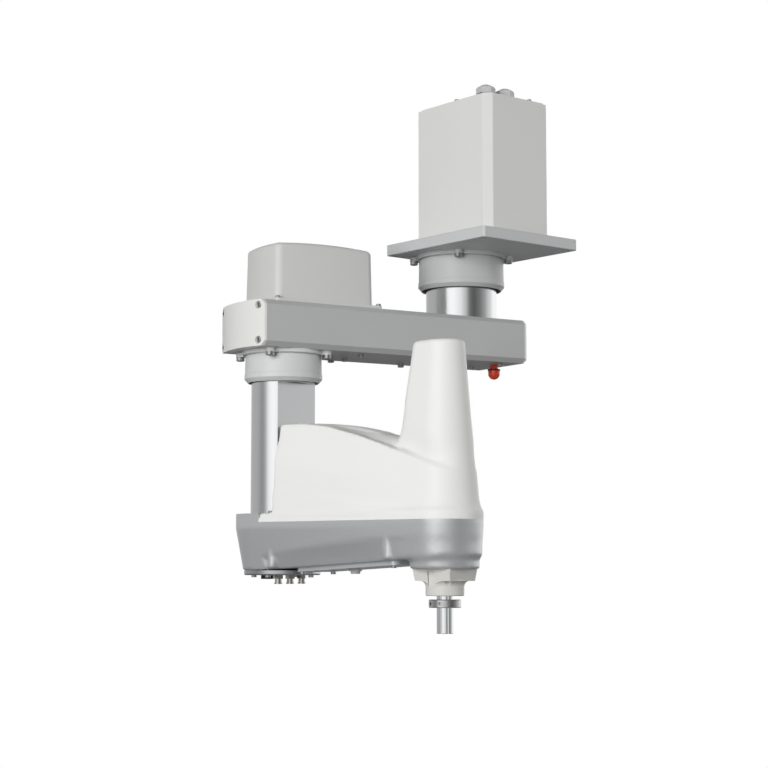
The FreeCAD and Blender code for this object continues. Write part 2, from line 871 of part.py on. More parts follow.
def casting_outside():
    upper = fuse(
        hull_prism(arm_r_2, arm_r_z, seam - rim_depth, seam),
        hull_loft((belly_r_2, barrel_foot_r), belly_end, (arm_r_2, arm_r_z), seam - rim_depth),
    )
    low_radii = (crease_r_2 - flank_run_2 * flank_reach, crease_r_z - flank_run_z * flank_reach)
    high_radii = (crease_r_2 + flank_run_2 * flank_reach, crease_r_z + flank_run_z * flank_reach)
    flank = hull_loft(low_radii, -flank_reach, high_radii, flank_reach)
    flank.rotate(Vector(0, 0, 0), Vector(0, 1, 0), -math.degrees(math.atan(crease_slope)))
    flank.translate(Vector(0, 0, crease_start))
    above = block(-arm_wide, arm_far, -arm_wide, arm_wide, crease_height(reach_2) - 2.0, seam + 1.0)
    hinge_end = cylinder(hinge_end_r, belly_end - 9.0, seam)
    waist = upper.common(flank.multiFuse([above, hinge_end]))
    waist = waist.cut(sloped_box(belly_end, belly_slope))
    boss = hull_prism(arm_r_2, arm_r_z, seam, boss_top)
    boss = boss.common(block(-arm_wide, boss_split, -arm_wide, arm_wide, seam, boss_top))
    boss = fuse(boss, column_foot(0.5, seam, boss_top))
    nose = revolved([
        (0, neck_foot),
        (neck_r, neck_foot),
        (neck_r, barrel_foot - 2.5),
        (barrel_foot_r - 0.6, barrel_foot),
        (arm_r_z - fit_gap, seam - rim_depth),
        (arm_r_z - fit_gap, seam - 0.5),
        (0, seam - 0.5),
    ], reach_2)
    flutes = []
    for x, y in flute_centres():
        flutes.append(cylinder(flute_r, belly_height(x) + 1.0, crease_height(x) + 6.0, x, y))
    return fuse(fuse(waist, boss).fuse(nose), *flutes)


def column_foot(clear, low, high):
    """The foot of the column with its flat, larger by the clearance."""
    body = cylinder(column_2_r + clear, low, high)
    return body.cut(block(column_flat + clear, arm_wide, -arm_wide, arm_wide, low, high))


def arm_2_casting():
    floor = sloped_box(belly_end + floor_thick, belly_slope)
    tub = hull_prism(arm_r_2 - tub_wall, arm_r_z - tub_wall + 4.0, arm_deep, seam + 1.0).cut(floor)
    tub = tub.fuse(hull_prism(arm_r_2 - rim_wall, arm_r_z - rim_wall, nose_boss_top, seam + 1.0))
    tub = tub.cut(cylinder(hinge_boss_r, arm_deep, seam + 2.0))
    tub = tub.cut(cylinder(nose_boss_r, arm_deep, nose_boss_top, reach_2))
    body = casting_outside().cut(tub)
    bores = [
        cylinder(column_2_r - column_wall, arm_deep, boss_top),
        cylinder(bearing_r + fit_gap, neck_foot, bearing_top, reach_2),
        cylinder(spline_nut_r() + 1.0, bearing_top, nose_boss_top, reach_2),
    ]
    for x, y in corners(bushing_screw_x, bushing_screw_y):
        bores.append(screw_hole(m4, reach_2 + x, y, neck_foot, neck_foot + shank_length))
    for x, y in belly_screw_points():
        bores.append(screw_hole(m3, x, y, arm_deep, belly_height(x) + floor_thick))
    for x, y in disc_screw_points():
        bores.append(screw_hole(m3, x, y, belly_end - 1.0, belly_end + shank_length))
    for x, y in shell_screw_points():
        bores.append(screw_hole(m3, x, y, seam - shank_length, seam))
    bores.append(cylinder(bezel_r - 1.0, arm_deep, crease_start + crease_depth / 2, button_x, 0))
    for bore in bores:
        body = body.cut(bore)
    return body


def belly_screw_points():
    xs = (belly_plate_start + 7.0, belly_plate_end - 7.0)
    return [(x, side * (belly_plate_half - 5.0)) for x in xs for side in (-1, 1)]


def belly_plate_form():
    half = belly_plate_half
    high = crease_start
    body = rounded_block(belly_plate_start, belly_plate_end, -half, half, arm_deep, high, belly_plate_corner)
    body = body.cut(sloped_box(belly_end - belly_plate_thick, belly_slope))
    keep = sloped_box(belly_end, belly_slope)
    return body.common(keep)


def belly_plate():
    cuts = [cylinder(bezel_r - 1.0, arm_deep, seam, button_x, 0)]
    for x, y in belly_screw_points():
        cuts.append(screw_hole(m3, x, y, arm_deep, seam))
    return belly_plate_form().cut(Part.makeCompound(cuts))


def belly_plate_screws():
    return [screw_up(m3, x, y, belly_height(x) - belly_plate_thick - 0.3) for x, y in belly_screw_points()]


# Arm 2 column
def j2_column():
    high = housing_2_foot + housing_2_height - reducer_height - body_gap
    body = tube(column_2_r, column_2_r - column_wall, boss_top, high)
    flat_top = housing_2_foot - body_gap
    flat = block(column_flat, arm_wide, -arm_wide, arm_wide, boss_top, flat_top)
    web = block(column_flat - 3.0, column_flat, -column_2_r, column_2_r, boss_top, flat_top)
    web = web.common(cylinder(column_2_r - 1.0, boss_top, high))
    return fuse(body.cut(flat), web)


# Arm 2 cover
def waist_height(x):
    return waist_start + waist_slope * x


def shoulder_form(inset):
    """Loft along the arm: a ridge on each side, a hollow behind it and a raised spine."""
    sections = []
    for back, ridge, spine in shoulder_stations:
        x = reach_2 - back
        low, side = seam - arm_wide, 2 * arm_r_2
        ridge_z, spine_z = seam + ridge - inset, seam + spine - inset
        half, foot = spine_half, spine_foot
        corner_points = [(-side, low), (side, low), (side, ridge_z), (foot, ridge_z), (half, spine_z)]
        corner_points += [(-half, spine_z), (-foot, ridge_z), (-side, ridge_z)]
        points = [Vector(x, y, z) for y, z in corner_points]
        mid_y = (foot + half) / 2
        mid_z = (ridge_z + spine_z) / 2 - spine_dip * (spine - ridge) / 10
        edges = []
        for i, start in enumerate(points):
            end = points[(i + 1) % len(points)]
            if i in (3, 5):
                middle = Vector(x, mid_y if i == 3 else -mid_y, mid_z)
                edges.append(Part.Arc(start, middle, end).toShape())
            else:
                edges.append(Part.LineSegment(start, end).toShape())
        sections.append(Part.Wire(edges))
    return Part.makeLoft(sections, True, False)


def tower_section(height, r, rear_half, back, inset):
    """Plan of the tower: round at the shaft, narrower and square at its rear."""
    r, rear_half = r - inset, rear_half - inset
    corner = tower_back_round - inset
    rear = reach_2 - back + inset
    a = Vector(reach_2, -r, height)
    b = Vector(reach_2, r, height)
    c = Vector(rear + corner, rear_half, height)
    d = Vector(rear, rear_half - corner, height)
    e = Vector(rear, -rear_half + corner, height)
    f = Vector(rear + corner, -rear_half, height)
    lean = corner * (1 - math.sqrt(0.5))
    return Part.Wire([
        Part.Arc(a, Vector(reach_2 + r, 0, height), b).toShape(),
        Part.LineSegment(b, c).toShape(),
        Part.Arc(c, Vector(rear + lean, rear_half - lean, height), d).toShape(),
        Part.LineSegment(d, e).toShape(),
        Part.Arc(e, Vector(rear + lean, -rear_half + lean, height), f).toShape(),
        Part.LineSegment(f, a).toShape(),
    ])


def tower_form(inset):
    sections = [tower_section(seam + z, r, rear, back, inset) for z, r, rear, back in tower_stations]
    foot = Part.makeLoft(sections[:3], True, True)
    flare = Part.makeLoft(sections[2:7], True, False)
    neck = Part.makeLoft(sections[6:], True, True)
    z_low, r_low, rear_low, back_low = tower_stations[-1]
    rounding = tower_round
    cap = []
    for k in range(5):
        angle = math.radians(22.5 * k)
        shrink = rounding * (1 - math.cos(angle))
        z = seam + z_low + rounding * math.sin(angle) - (inset if k else 0)
        cap.append(tower_section(z, r_low - shrink, rear_low - shrink, back_low - shrink, inset))
    return fuse(foot, flare, neck, Part.makeLoft(cap, True, True))


def shell_form(inset):
    """The outside of the arm 2 cover, or with an inset its inside."""
    low_r = (arm_r_2 - inset, arm_r_z - inset)
    sides = hull_loft(low_r, seam, (shell_top_r_2 - inset, shell_side_r_z - inset), crown)
    wires = [Part.Wire(hull_edges(r_2 - inset, r_z - inset, z)) for z, r_2, r_z in waist_stations]
    foot = waist_stations[0][0]
    under = block(-arm_wide, arm_far, -arm_wide, arm_wide, foot - arm_wide, foot)
    waist = Part.makeLoft(wires, True, True).fuse(under)
    waist.rotate(Vector(0, 0, 0), Vector(0, 1, 0), -math.degrees(math.atan(waist_slope)))
    waist.translate(Vector(0, 0, waist_start))
    body = sides.common(waist).common(shoulder_form(inset))
    lean = math.degrees(math.atan(shell_lean / (crown - boss_top)))
    face = shell_back + inset
    back_wall = block(face - 2 * arm_wide, face, -arm_wide, arm_wide, -arm_wide, 2 * crown_height)
    back_wall.rotate(Vector(face, 0, 0), Vector(0, 1, 0), lean)
    back_wall.translate(Vector(0, 0, boss_top))
    body = body.cut(back_wall)
    return fuse(body, tower_form(inset))


def shell_screw_points():
    return [(shell_back - shell_screw_inset, side * shell_screw_y) for side in (-1, 1)]


def arm_2_cover():
    skirt = hull_prism(arm_r_2, arm_r_z, seam, boss_top)
    skirt = skirt.common(block(boss_split + 0.1, arm_far, -arm_wide, arm_wide, seam, boss_top))
    body = fuse(shell_form(0), skirt).cut(column_foot(0.6, seam, boss_top))
    hollow = shell_form(shell)
    throat = hull_prism(arm_r_2 - shell, arm_r_z - shell, seam, boss_top)
    throat = throat.common(block(shell_back + shell, arm_far, -arm_wide, arm_wide, seam, boss_top))
    holes = [screw_hole(m3, x, y, seam, boss_top) for x, y in shell_screw_points()]
    return body.cut(Part.makeCompound([hollow, throat] + holes))


# Drives inside arm 2
def spline_nut_r():
    return shaft_r + nut_wall


def driven_pulley(level, inner_r):
    rim = pulley_rim
    body = tube(driven_pulley_r, inner_r, level, level + pulley_height, reach_2)
    low, high = level + 0.7, level + pulley_height - 0.7
    track = tube(driven_pulley_r + 1.0, driven_pulley_r - rim, low, high, reach_2)
    return body.cut(track)


def motor_pulley(level, r, x, shaft_high):
    rim = pulley_rim
    body = cylinder(r, level, level + pulley_height, x)
    track = tube(r + 1.0, r - rim, level + 0.7, level + pulley_height - 0.7, x)
    return fuse(body.cut(track), cylinder(4.0, level + pulley_height, shaft_high, x))


def belt(level, motor_r, motor_x):
    """Closed loop round a motor pulley and the driven pulley, a hair clear of both."""
    rim = pulley_rim
    low = level + (pulley_height - belt_width) / 2 + 0.3
    high = low + belt_width - 0.6
    loops = []
    for thick in (belt_gap + belt_thick, belt_gap):
        small = motor_r - rim + thick
        large = driven_pulley_r - rim + thick
        span = reach_2 - motor_x
        angle = math.acos((large - small) / span)
        c, s = math.cos(angle), math.sin(angle)
        a = Vector(motor_x - small * c, small * s, low)
        b = Vector(reach_2 - large * c, large * s, low)
        d = Vector(motor_x - small * c, -small * s, low)
        e = Vector(reach_2 - large * c, -large * s, low)
        edges = [
            Part.Arc(a, Vector(motor_x - small, 0, low), d).toShape(),
            Part.LineSegment(d, e).toShape(),
            Part.Arc(e, Vector(reach_2 + large, 0, low), b).toShape(),
            Part.LineSegment(b, a).toShape(),
        ]
        loops.append(closed_face(edges).extrude(Vector(0, 0, high - low)))
    return loops[0].cut(loops[1])


def spline_nut():
    return tube(spline_nut_r(), shaft_r + fit_gap, spline_nut_foot, spline_nut_top, reach_2)


def spline_bearing():
    return tube(bearing_r, spline_nut_r() + fit_gap, bearing_foot, bearing_top, reach_2)


def ball_nut():
    return tube(spline_nut_r(), shaft_r + fit_gap, ball_nut_foot, ball_nut_top, reach_2)


def bridge():
    """Bracket on two legs that carries the bearing of the ball nut over the pulleys."""
    foot = z_level + pulley_height + 3.0
    top = foot + bridge_height
    outer = bridge_inner + bridge_leg
    plate = block(reach_2 - bridge_half_x, reach_2 + bridge_half_x, -outer, outer, foot, top)
    legs = []
    for side in (-1, 1):
        ends = sorted((side * bridge_inner, side * outer))
        x_low, x_high = reach_2 - bridge_half_x, reach_2 + bridge_half_x
        legs.append(block(x_low, x_high, ends[0], ends[1], nose_boss_top, foot))
    collar = cylinder(ball_bearing_r + 3.0, foot, top, reach_2)
    body = fuse(plate, collar, *legs)
    return body.cut(cylinder(ball_bearing_r + fit_gap, foot, top, reach_2))


def ball_bearing():
    foot = z_level + pulley_height + 3.0
    return tube(ball_bearing_r, spline_nut_r() + fit_gap, foot, foot + bridge_height, reach_2)


def u_motor_plate():
    half = motor_size / 2 + u_plate_edge
    wide = u_plate_half
    body = block(u_motor_x - half, u_motor_x + half, -wide, wide, seam, seam + motor_plate)
    return body.cut(cylinder(u_motor_pulley_r + 1.0, seam, seam + motor_plate, u_motor_x))


def z_motor_seat():
    return z_level + pulley_height + 4.0


def z_motor_plate():
    half = motor_size / 2 + z_plate_edge
    seat = z_motor_seat()
    outer = z_plate_half
    body = block(z_motor_x - half, z_motor_x + half, -outer, outer, seat, seat + motor_plate)
    parts = [body]
    for side in (-1, 1):
        ends = sorted((side * (outer - 1.8), side * outer))
        parts.append(block(z_motor_x - half, z_motor_x + half, ends[0], ends[1], seam, seat))
    return fuse(*parts).cut(cylinder(z_motor_pulley_r + 1.0, seat, seat + motor_plate, z_motor_x))


def spline_shaft():
    body = tube(shaft_r, shaft_bore_r, shaft_foot, shaft_top, reach_2)
    low_edges = [e for e in body.Edges if e.CenterOfMass.z < shaft_foot + 0.01]
    foot_edges = [e for e in low_edges if e.Curve.Radius > shaft_r - 0.1]
    body = body.makeChamfer(shaft_chamfer, foot_edges)
    grooves = [tube(shaft_r + 1.0, shaft_r - relief_depth, collar_foot, collar_foot + relief_width, reach_2)]
    for angle in spline_groove_angles:
        x = reach_2 + (shaft_r + 0.3) * math.cos(math.radians(angle))
        y = (shaft_r + 0.3) * math.sin(math.radians(angle))
        grooves.append(cylinder(spline_groove_r, shaft_foot, shaft_top, x, y))
    return body.cut(Part.makeCompound(grooves))


def stop_collar():
    """Clamp collar: one slit, and two clamp screws beside each other across it."""
    body = tube(collar_r, shaft_r + fit_gap, collar_foot, collar_top, reach_2)
    edges = [e for e in body.Edges if "Circle" in e.Curve.TypeId and e.Curve.Radius > collar_r - 0.1]
    body = body.makeChamfer(0.6, edges)
    half = collar_slit / 2
    slit = block(0, collar_r + 1, -half, half, collar_foot, collar_top)
    slit.rotate(Vector(0, 0, 0), Vector(0, 0, 1), collar_slit_angle)
    slit.translate(Vector(reach_2, 0, 0))
    holes = [slit]
    middle = (collar_foot + collar_top) / 2
    for angle in collar_screw_angles:
        way = Vector(math.cos(math.radians(angle)), math.sin(math.radians(angle)), 0)
        start = Vector(reach_2, 0, middle) + way * (shaft_r + 1.5)
        holes.append(Part.makeCylinder(collar_screw_r, collar_r, start, way))
    return body.cut(Part.makeCompound(holes))


def collar_screws():
    middle = (collar_foot + collar_top) / 2
    screws = []
    for angle in collar_screw_angles:
        way = Vector(math.cos(math.radians(angle)), math.sin(math.radians(angle)), 0)
        start = Vector(reach_2, 0, middle) + way * (shaft_r + 1.5)
        screws.append(Part.makeCylinder(collar_screw_r - fit_gap, collar_screw_depth, start, way))
    return screws


def top_stop():
    return tube(top_stop_r, shaft_r + fit_gap, shaft_top - top_stop_height, shaft_top, reach_2)


# Lower bushing
def lower_bushing():
    flange_foot = neck_foot - bushing_flange
    wires = []
    for draft, z in ((0.0, neck_foot), (bushing_draft, flange_foot)):
        x, y = bushing_half_x - draft, bushing_half_y - draft
        plan = [Vector(reach_2 + a, b, z) for a, b in ((-x, -y), (x, -y), (x, y), (-x, y))]
        wires.append(Part.makePolygon(plan + plan[:1]))
    top = Part.makeLoft(wires, True, True)
    upright = [e for e in top.Edges if abs(e.tangentAt(e.FirstParameter).z) > 0.9]
    top = top.makeFillet(bushing_edge, upright)
    r = bushing_fillet
    profile = [(0.0, flange_foot + 1.0), (bushing_r + r, flange_foot + 1.0), (bushing_r + r, flange_foot)]
    for k in range(1, 7):
        angle = math.radians(15 * k)
        profile.append((bushing_r + r - r * math.sin(angle), flange_foot - r + r * math.cos(angle)))
    profile += [(bushing_r, bushing_foot + 0.8), (bushing_r - 0.8, bushing_foot), (0.0, bushing_foot)]
    side = bushing_half_y - bushing_draft
    stem = revolved(profile, reach_2)
    stem = stem.common(block(0, arm_far, -side, side, bushing_foot, flange_foot + 1.0))
    body = fuse(top, stem)
    cuts = [
        cylinder(bushing_bore_r, bushing_foot + bushing_lip, neck_foot, reach_2),
        cylinder(shaft_opening_r, bushing_foot, bushing_foot + bushing_lip, reach_2),
    ]
    for side in (-1, 1):
        ends = sorted((side * (bushing_half_y - notch_depth), side * (bushing_half_y + 2.0)))
        x_low, x_high = reach_2 - notch_width / 2, reach_2 + notch_width / 2
        low = flange_foot - r
        cuts.append(block(x_low, x_high, ends[0], ends[1], low, flange_foot + notch_height))
    for x, y in corners(bushing_screw_x, bushing_screw_y):
        cuts.append(screw_hole(m4, reach_2 + x, y, flange_foot - 2.0, neck_foot))
        cuts.append(cylinder(m4[0] + 0.4, bushing_foot, flange_foot + 3.4, reach_2 + x, y))
    return body.cut(Part.makeCompound(cuts))


def bushing_screws():
    seat = neck_foot - bushing_flange + 3.4
    return [screw_up(m4, reach_2 + x, y, seat) for x, y in corners(bushing_screw_x, bushing_screw_y)]


# Connector plate
def disc_screw_points():
    angles = [math.radians(a) for a in (20, 110, 200, 290)]
    return [(disc_screw_r * math.cos(a), disc_screw_r * math.sin(a)) for a in angles]


def fitting_points():
    return [(fitting_x, fitting_y + i * fitting_pitch) for i in range(3)]


def connector_plate():
    body = cylinder(disc_r, disc_top - disc_thick, disc_top)
    edges = [e for e in body.Edges if abs(e.CenterOfMass.z - disc_top + disc_thick) < 0.01]
    body = body.makeFillet(1.5, edges)
    cuts = [screw_hole(m3, x, y, disc_top - disc_thick, disc_top) for x, y in disc_screw_points()]
    cuts += [cylinder(fitting_r - 1.5, disc_top - disc_thick, disc_top, x, y) for x, y in fitting_points()]
    cuts.append(cylinder(plug_r - 1.5, disc_top - disc_thick, disc_top, plug_x, plug_y))
    return body.cut(Part.makeCompound(cuts))


def air_fitting(x, y):
    seat = disc_top - disc_thick
    nut = hexagon(2 * fitting_r - 0.6, seat - 3.6, seat, x, y)
    sleeve = cylinder(fitting_r - 1.1, seat - fitting_height + 1.6, seat - 3.6, x, y)
    ring = cylinder(fitting_r - 0.4, seat - fitting_height, seat - fitting_height + 1.6, x, y)
    thread = cylinder(fitting_r - 1.5 - fit_gap, seat, disc_top, x, y)
    return fuse(nut, sleeve, ring, thread).cut(cylinder(2.05, seat - fitting_height, disc_top, x, y))


def signal_connector():
    seat = disc_top - disc_thick
    shell_part = tube(plug_r, plug_r - 1.0, seat - plug_height, seat, plug_x, plug_y)
    core = cylinder(plug_r - 1.5 - fit_gap, seat - plug_height + 1.4, disc_top, plug_x, plug_y)
    core = core.fuse(cylinder(plug_r - 0.5, seat - 1.0, seat, plug_x, plug_y))
    return fuse(shell_part, core)


# Brake release button
def button_seat():
    return belly_height(button_x) - belly_plate_thick


def brake_bezel():
    low = button_seat() - bezel_height
    flange = cylinder(bezel_r, low, button_seat() - 0.45, button_x, 0)
    stem = cylinder(bezel_r - 1.0 - fit_gap, button_seat() - 0.5, button_seat() + 12.0, button_x, 0)
    return fuse(flange, stem).cut(cylinder(button_r + button_fit, low, button_seat() + 12.0, button_x, 0))


def brake_button():
    low = button_seat() - bezel_height - button_height
    body = cylinder(button_r, low, button_seat() + 6.0, button_x, 0)
    edges = [e for e in body.Edges if abs(e.CenterOfMass.z - low) < 0.01]
    return body.makeFillet(0.8, edges)


def write_node(name, shapes):
    parts = shapes if isinstance(shapes, list) else [shapes]
    solids = []
    for shape in parts:
        solids.extend(shape.Solids)
    whole = solids[0] if len(solids) == 1 else Part.makeCompound(solids)
    whole.exportStep(os.path.join("parts", name + ".step"))
    volume = sum(s.Volume for s in solids)
    print(name, len(solids), "solids", round(volume), "mm3", "valid" if whole.isValid() else "NOT VALID")


def build_base():
    def at_axis(shape):
        moved = shape.copy()
        moved.translate(Vector(axis_1_x, 0, 0))
        return moved

    write_node("base_plate", base_plate())
    write_node("base_cover", base_cover())
    write_node("base_cover_lid", base_lid())
    write_node("base_cover_foot_screws", [screw_down(m3, x, y, sheet) for x, y in base_foot_points()])
    write_node("lid_screws", [screw_down(m3, x, y, cover_height + lid_thick) for x, y in lid_screw_points()])
    write_node("cable_glands", [gland(x, y) for x, y in gland_points()])
    write_node("gland_seals", [gland_seal_ring(x, y) for x, y in gland_points()])
    write_node("j1_motor", at_axis(motor(motor_1_length, 0)))
    write_node("j1_reducer", at_axis(reducer(housing_1_r, plate_foot, 0)))
    housing = bearing_housing(housing_1_r, plate_foot, housing_1_height, ear_1_r)
    write_node("j1_bearing_housing", at_axis(housing))
    write_node("j1_housing_screws", [at_axis(s) for s in housing_screws(plate_foot, ear_1_r)])
    write_node("j1_seal", at_axis(seal_ring(housing_1_r, column_1_r, housing_1_foot)))


def build_arm_1():
    def at_joint_2(shape):
        moved = shape.copy()
        moved.translate(Vector(reach_1, 0, 0))
        return on_arm_1(moved)

    column_high = plate_foot - reducer_height - body_gap
    write_node("j1_column", on_arm_1(column(column_1_r, beam_top, column_high)))
    write_node("arm_1_beam", on_arm_1(arm_1_beam()))
    write_node("distal_end_cap", on_arm_1(distal_end_cap()))
    write_node("proximal_end_cap", on_arm_1(proximal_end_cap()))
    write_node("end_cap_screws", [on_arm_1(s) for s in end_cap_screws()])
    write_node("j2_motor_cover", on_arm_1(j2_motor_cover()))
    lip_top = beam_top + hood_lip
    write_node("j2_cover_screws", [on_arm_1(screw_down(m3, x, y, lip_top)) for x, y in hood_screw_points()])
    register_top = beam_foot + register_2_height
    write_node("j2_motor", at_joint_2(motor(motor_2_length, register_top)))
    write_node("j2_reducer", at_joint_2(reducer(housing_2_r, beam_foot, register_top)))
    housing = bearing_housing(housing_2_r, beam_foot, housing_2_height, ear_2_r)
    write_node("j2_bearing_housing", at_joint_2(housing))
    write_node("j2_housing_screws", [at_joint_2(s) for s in housing_screws(beam_foot, ear_2_r)])
    write_node("j2_seal", at_joint_2(seal_ring(housing_2_r, column_2_r, housing_2_foot)))
    belly_points = belly_screws + lamp_screws
    write_node("beam_belly_screws", [on_arm_1(screw_up(m4, x, y, beam_foot)) for x, y in belly_points])
    write_node("signal_lamp_base", on_arm_1(lamp_ring()))
    write_node("signal_lamp_lens", on_arm_1(lamp_lens()))


def build_arm_2():
    u_shaft_top = seam + motor_plate - body_gap
    z_shaft_top = z_motor_seat() + motor_plate - body_gap
    nodes = {
        "j2_column": j2_column(),
        "arm_2_casting": arm_2_casting(),
        "arm_2_cover": arm_2_cover(),
        "arm_2_cover_screws": [screw_down(m3, x, y, boss_top) for x, y in shell_screw_points()],
        "arm_2_belly_plate": belly_plate(),
        "belly_plate_screws": belly_plate_screws(),
        "spline_nut_bearing": spline_bearing(),
        "ball_nut_bridge": bridge(),
        "ball_nut_bearing": ball_bearing(),
        "u_motor_plate": u_motor_plate(),
        "u_motor": motor(u_motor_length, seam + motor_plate, u_motor_x),
        "z_motor_plate": z_motor_plate(),
        "z_motor": motor(z_motor_length, z_motor_seat() + motor_plate, z_motor_x),
        "u_belt": belt(u_level, u_motor_pulley_r, u_motor_x),
        "z_belt": belt(z_level, z_motor_pulley_r, z_motor_x),
        "lower_bushing": lower_bushing(),
        "bushing_screws": bushing_screws(),
        "connector_plate": connector_plate(),
        "connector_plate_screws": [screw_up(m3, x, y, disc_top - disc_thick) for x, y in disc_screw_points()],
        "signal_connector": signal_connector(),
        "air_fittings": [air_fitting(x, y) for x, y in fitting_points()],
        "brake_button_bezel": brake_bezel(),
        "brake_button": brake_button(),
        "spline_nut": spline_nut(),
        "u_driven_pulley": driven_pulley(u_level, spline_nut_r()),
        "ball_nut": ball_nut(),
        "z_driven_pulley": driven_pulley(z_level, spline_nut_r()),
        "u_motor_pulley": motor_pulley(u_level, u_motor_pulley_r, u_motor_x, u_shaft_top),
        "z_motor_pulley": motor_pulley(z_level, z_motor_pulley_r, z_motor_x, z_shaft_top),
        "spline_shaft": spline_shaft(),
        "stop_collar": stop_collar(),
        "collar_screws": collar_screws(),
        "shaft_top_stop": top_stop(),
    }
    for name, shapes in nodes.items():
        parts = shapes if isinstance(shapes, list) else [shapes]
        write_node(name, [on_arm_2(s) for s in parts])


os.makedirs("parts", exist_ok=True)
build_base()
build_arm_1()
build_arm_2()
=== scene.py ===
import json
import math

import bmesh
import bpy
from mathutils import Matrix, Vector


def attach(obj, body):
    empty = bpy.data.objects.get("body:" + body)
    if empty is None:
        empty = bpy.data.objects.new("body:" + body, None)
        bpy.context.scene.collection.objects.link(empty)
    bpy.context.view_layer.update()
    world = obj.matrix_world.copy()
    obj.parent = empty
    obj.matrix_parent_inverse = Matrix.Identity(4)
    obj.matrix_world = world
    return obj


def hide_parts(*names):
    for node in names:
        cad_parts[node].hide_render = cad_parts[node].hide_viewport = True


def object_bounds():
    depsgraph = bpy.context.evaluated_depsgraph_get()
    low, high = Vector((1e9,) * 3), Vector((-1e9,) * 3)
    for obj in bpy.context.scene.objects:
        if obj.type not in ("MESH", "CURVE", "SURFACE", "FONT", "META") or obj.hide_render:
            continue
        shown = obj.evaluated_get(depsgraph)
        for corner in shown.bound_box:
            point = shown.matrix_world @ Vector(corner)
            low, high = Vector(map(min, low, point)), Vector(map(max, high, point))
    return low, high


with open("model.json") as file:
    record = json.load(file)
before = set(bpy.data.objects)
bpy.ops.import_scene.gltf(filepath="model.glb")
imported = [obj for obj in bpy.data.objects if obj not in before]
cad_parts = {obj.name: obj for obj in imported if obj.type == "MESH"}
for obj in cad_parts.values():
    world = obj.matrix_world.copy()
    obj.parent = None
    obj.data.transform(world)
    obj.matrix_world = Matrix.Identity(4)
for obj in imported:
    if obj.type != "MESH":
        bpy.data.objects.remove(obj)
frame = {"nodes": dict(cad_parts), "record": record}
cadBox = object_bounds()
nodes = frame["nodes"]
mm = 0.001
print("frame loaded:", len(nodes), "nodes")


# Colours and nodes
def linearColour(hexText, alpha=1.0):
    channels = [int(hexText[i:i + 2], 16) / 255 for i in (1, 3, 5)]
    return [c / 12.92 if c <= 0.04045 else ((c + 0.055) / 1.055) ** 2.4 for c in channels] + [alpha]


def addNode(tree, kind, inputs=(), **settings):
    # adds one node, sets its properties, and gives each input a value or a link
    node = tree.nodes.new(kind)
    for name, value in settings.items():
        setattr(node, name, value)
    for socket, value in dict(inputs).items():
        if isinstance(value, bpy.types.NodeSocket):
            tree.links.new(value, node.inputs[socket])
        else:
            node.inputs[socket].default_value = value
    return node


def newMaterial(name):
    material = bpy.data.materials.new(name)
    material.use_nodes = True
    tree = material.node_tree
    tree.nodes.clear()
    place = addNode(tree, "ShaderNodeTexCoord").outputs["Object"]
    return material, tree, place


# Powder coat: baked polyester on steel or aluminium, an even satin skin with a very fine orange peel
def powderCoat(name, look):
    material, tree, place = newMaterial(name)
    peel = addNode(tree, "ShaderNodeTexNoise", {
        "Vector": place, "Scale": 1 / (look["peelMm"] * mm), "Detail": 3.0})
    cloud = addNode(tree, "ShaderNodeTexNoise", {
        "Vector": place, "Scale": 1 / (look["cloudMm"] * mm), "Detail": 2.0})
    colour = addNode(tree, "ShaderNodeMix", {
        0: cloud.outputs["Fac"], 6: linearColour(look["dark"]), 7: linearColour(look["light"]),
    }, data_type="RGBA")
    rough = addNode(tree, "ShaderNodeMapRange", {
        0: peel.outputs["Fac"], 3: look["roughness"] - 0.04, 4: look["roughness"] + 0.04})
    bump = addNode(tree, "ShaderNodeBump", {
        "Height": peel.outputs["Fac"], "Strength": look["peel"], "Distance": 0.05 * mm})
    shader = addNode(tree, "ShaderNodeBsdfPrincipled", {
        "Base Color": colour.outputs[2], "Roughness": rough.outputs[0], "Normal": bump.outputs[0], "IOR": 1.5,
    })
    addNode(tree, "ShaderNodeOutputMaterial", {"Surface": shader.outputs[0]})
    return material


# Metallic lacquer: aluminium flakes under a clear coat, so the tone shifts slightly from flake to flake
def metallicLacquer(name, look):
    material, tree, place = newMaterial(name)
    flakes = addNode(tree, "ShaderNodeTexVoronoi", {"Vector": place, "Scale": 1 / (look["flakeMm"] * mm)})
    tint = addNode(tree, "ShaderNodeSeparateColor", {"Color": flakes.outputs["Color"]})
    cloud = addNode(tree, "ShaderNodeTexNoise", {
        "Vector": place, "Scale": 1 / (look["cloudMm"] * mm), "Detail": 2.0})
    colour = addNode(tree, "ShaderNodeMix", {
        0: tint.outputs[0], 6: linearColour(look["dark"]), 7: linearColour(look["light"]),
    }, data_type="RGBA")
    rough = addNode(tree, "ShaderNodeMapRange", {
        0: cloud.outputs["Fac"], 3: look["roughness"] - 0.05, 4: look["roughness"] + 0.05})
    bump = addNode(tree, "ShaderNodeBump", {
        "Height": cloud.outputs["Fac"], "Strength": look["peel"], "Distance": 0.1 * mm})
    shader = addNode(tree, "ShaderNodeBsdfPrincipled", {
        "Base Color": colour.outputs[2], "Metallic": look["metallic"],
        "Roughness": rough.outputs[0], "Normal": bump.outputs[0],
        "Coat Weight": look["coat"], "Coat Roughness": 0.15,
    })
    addNode(tree, "ShaderNodeOutputMaterial", {"Surface": shader.outputs[0]})
    return material


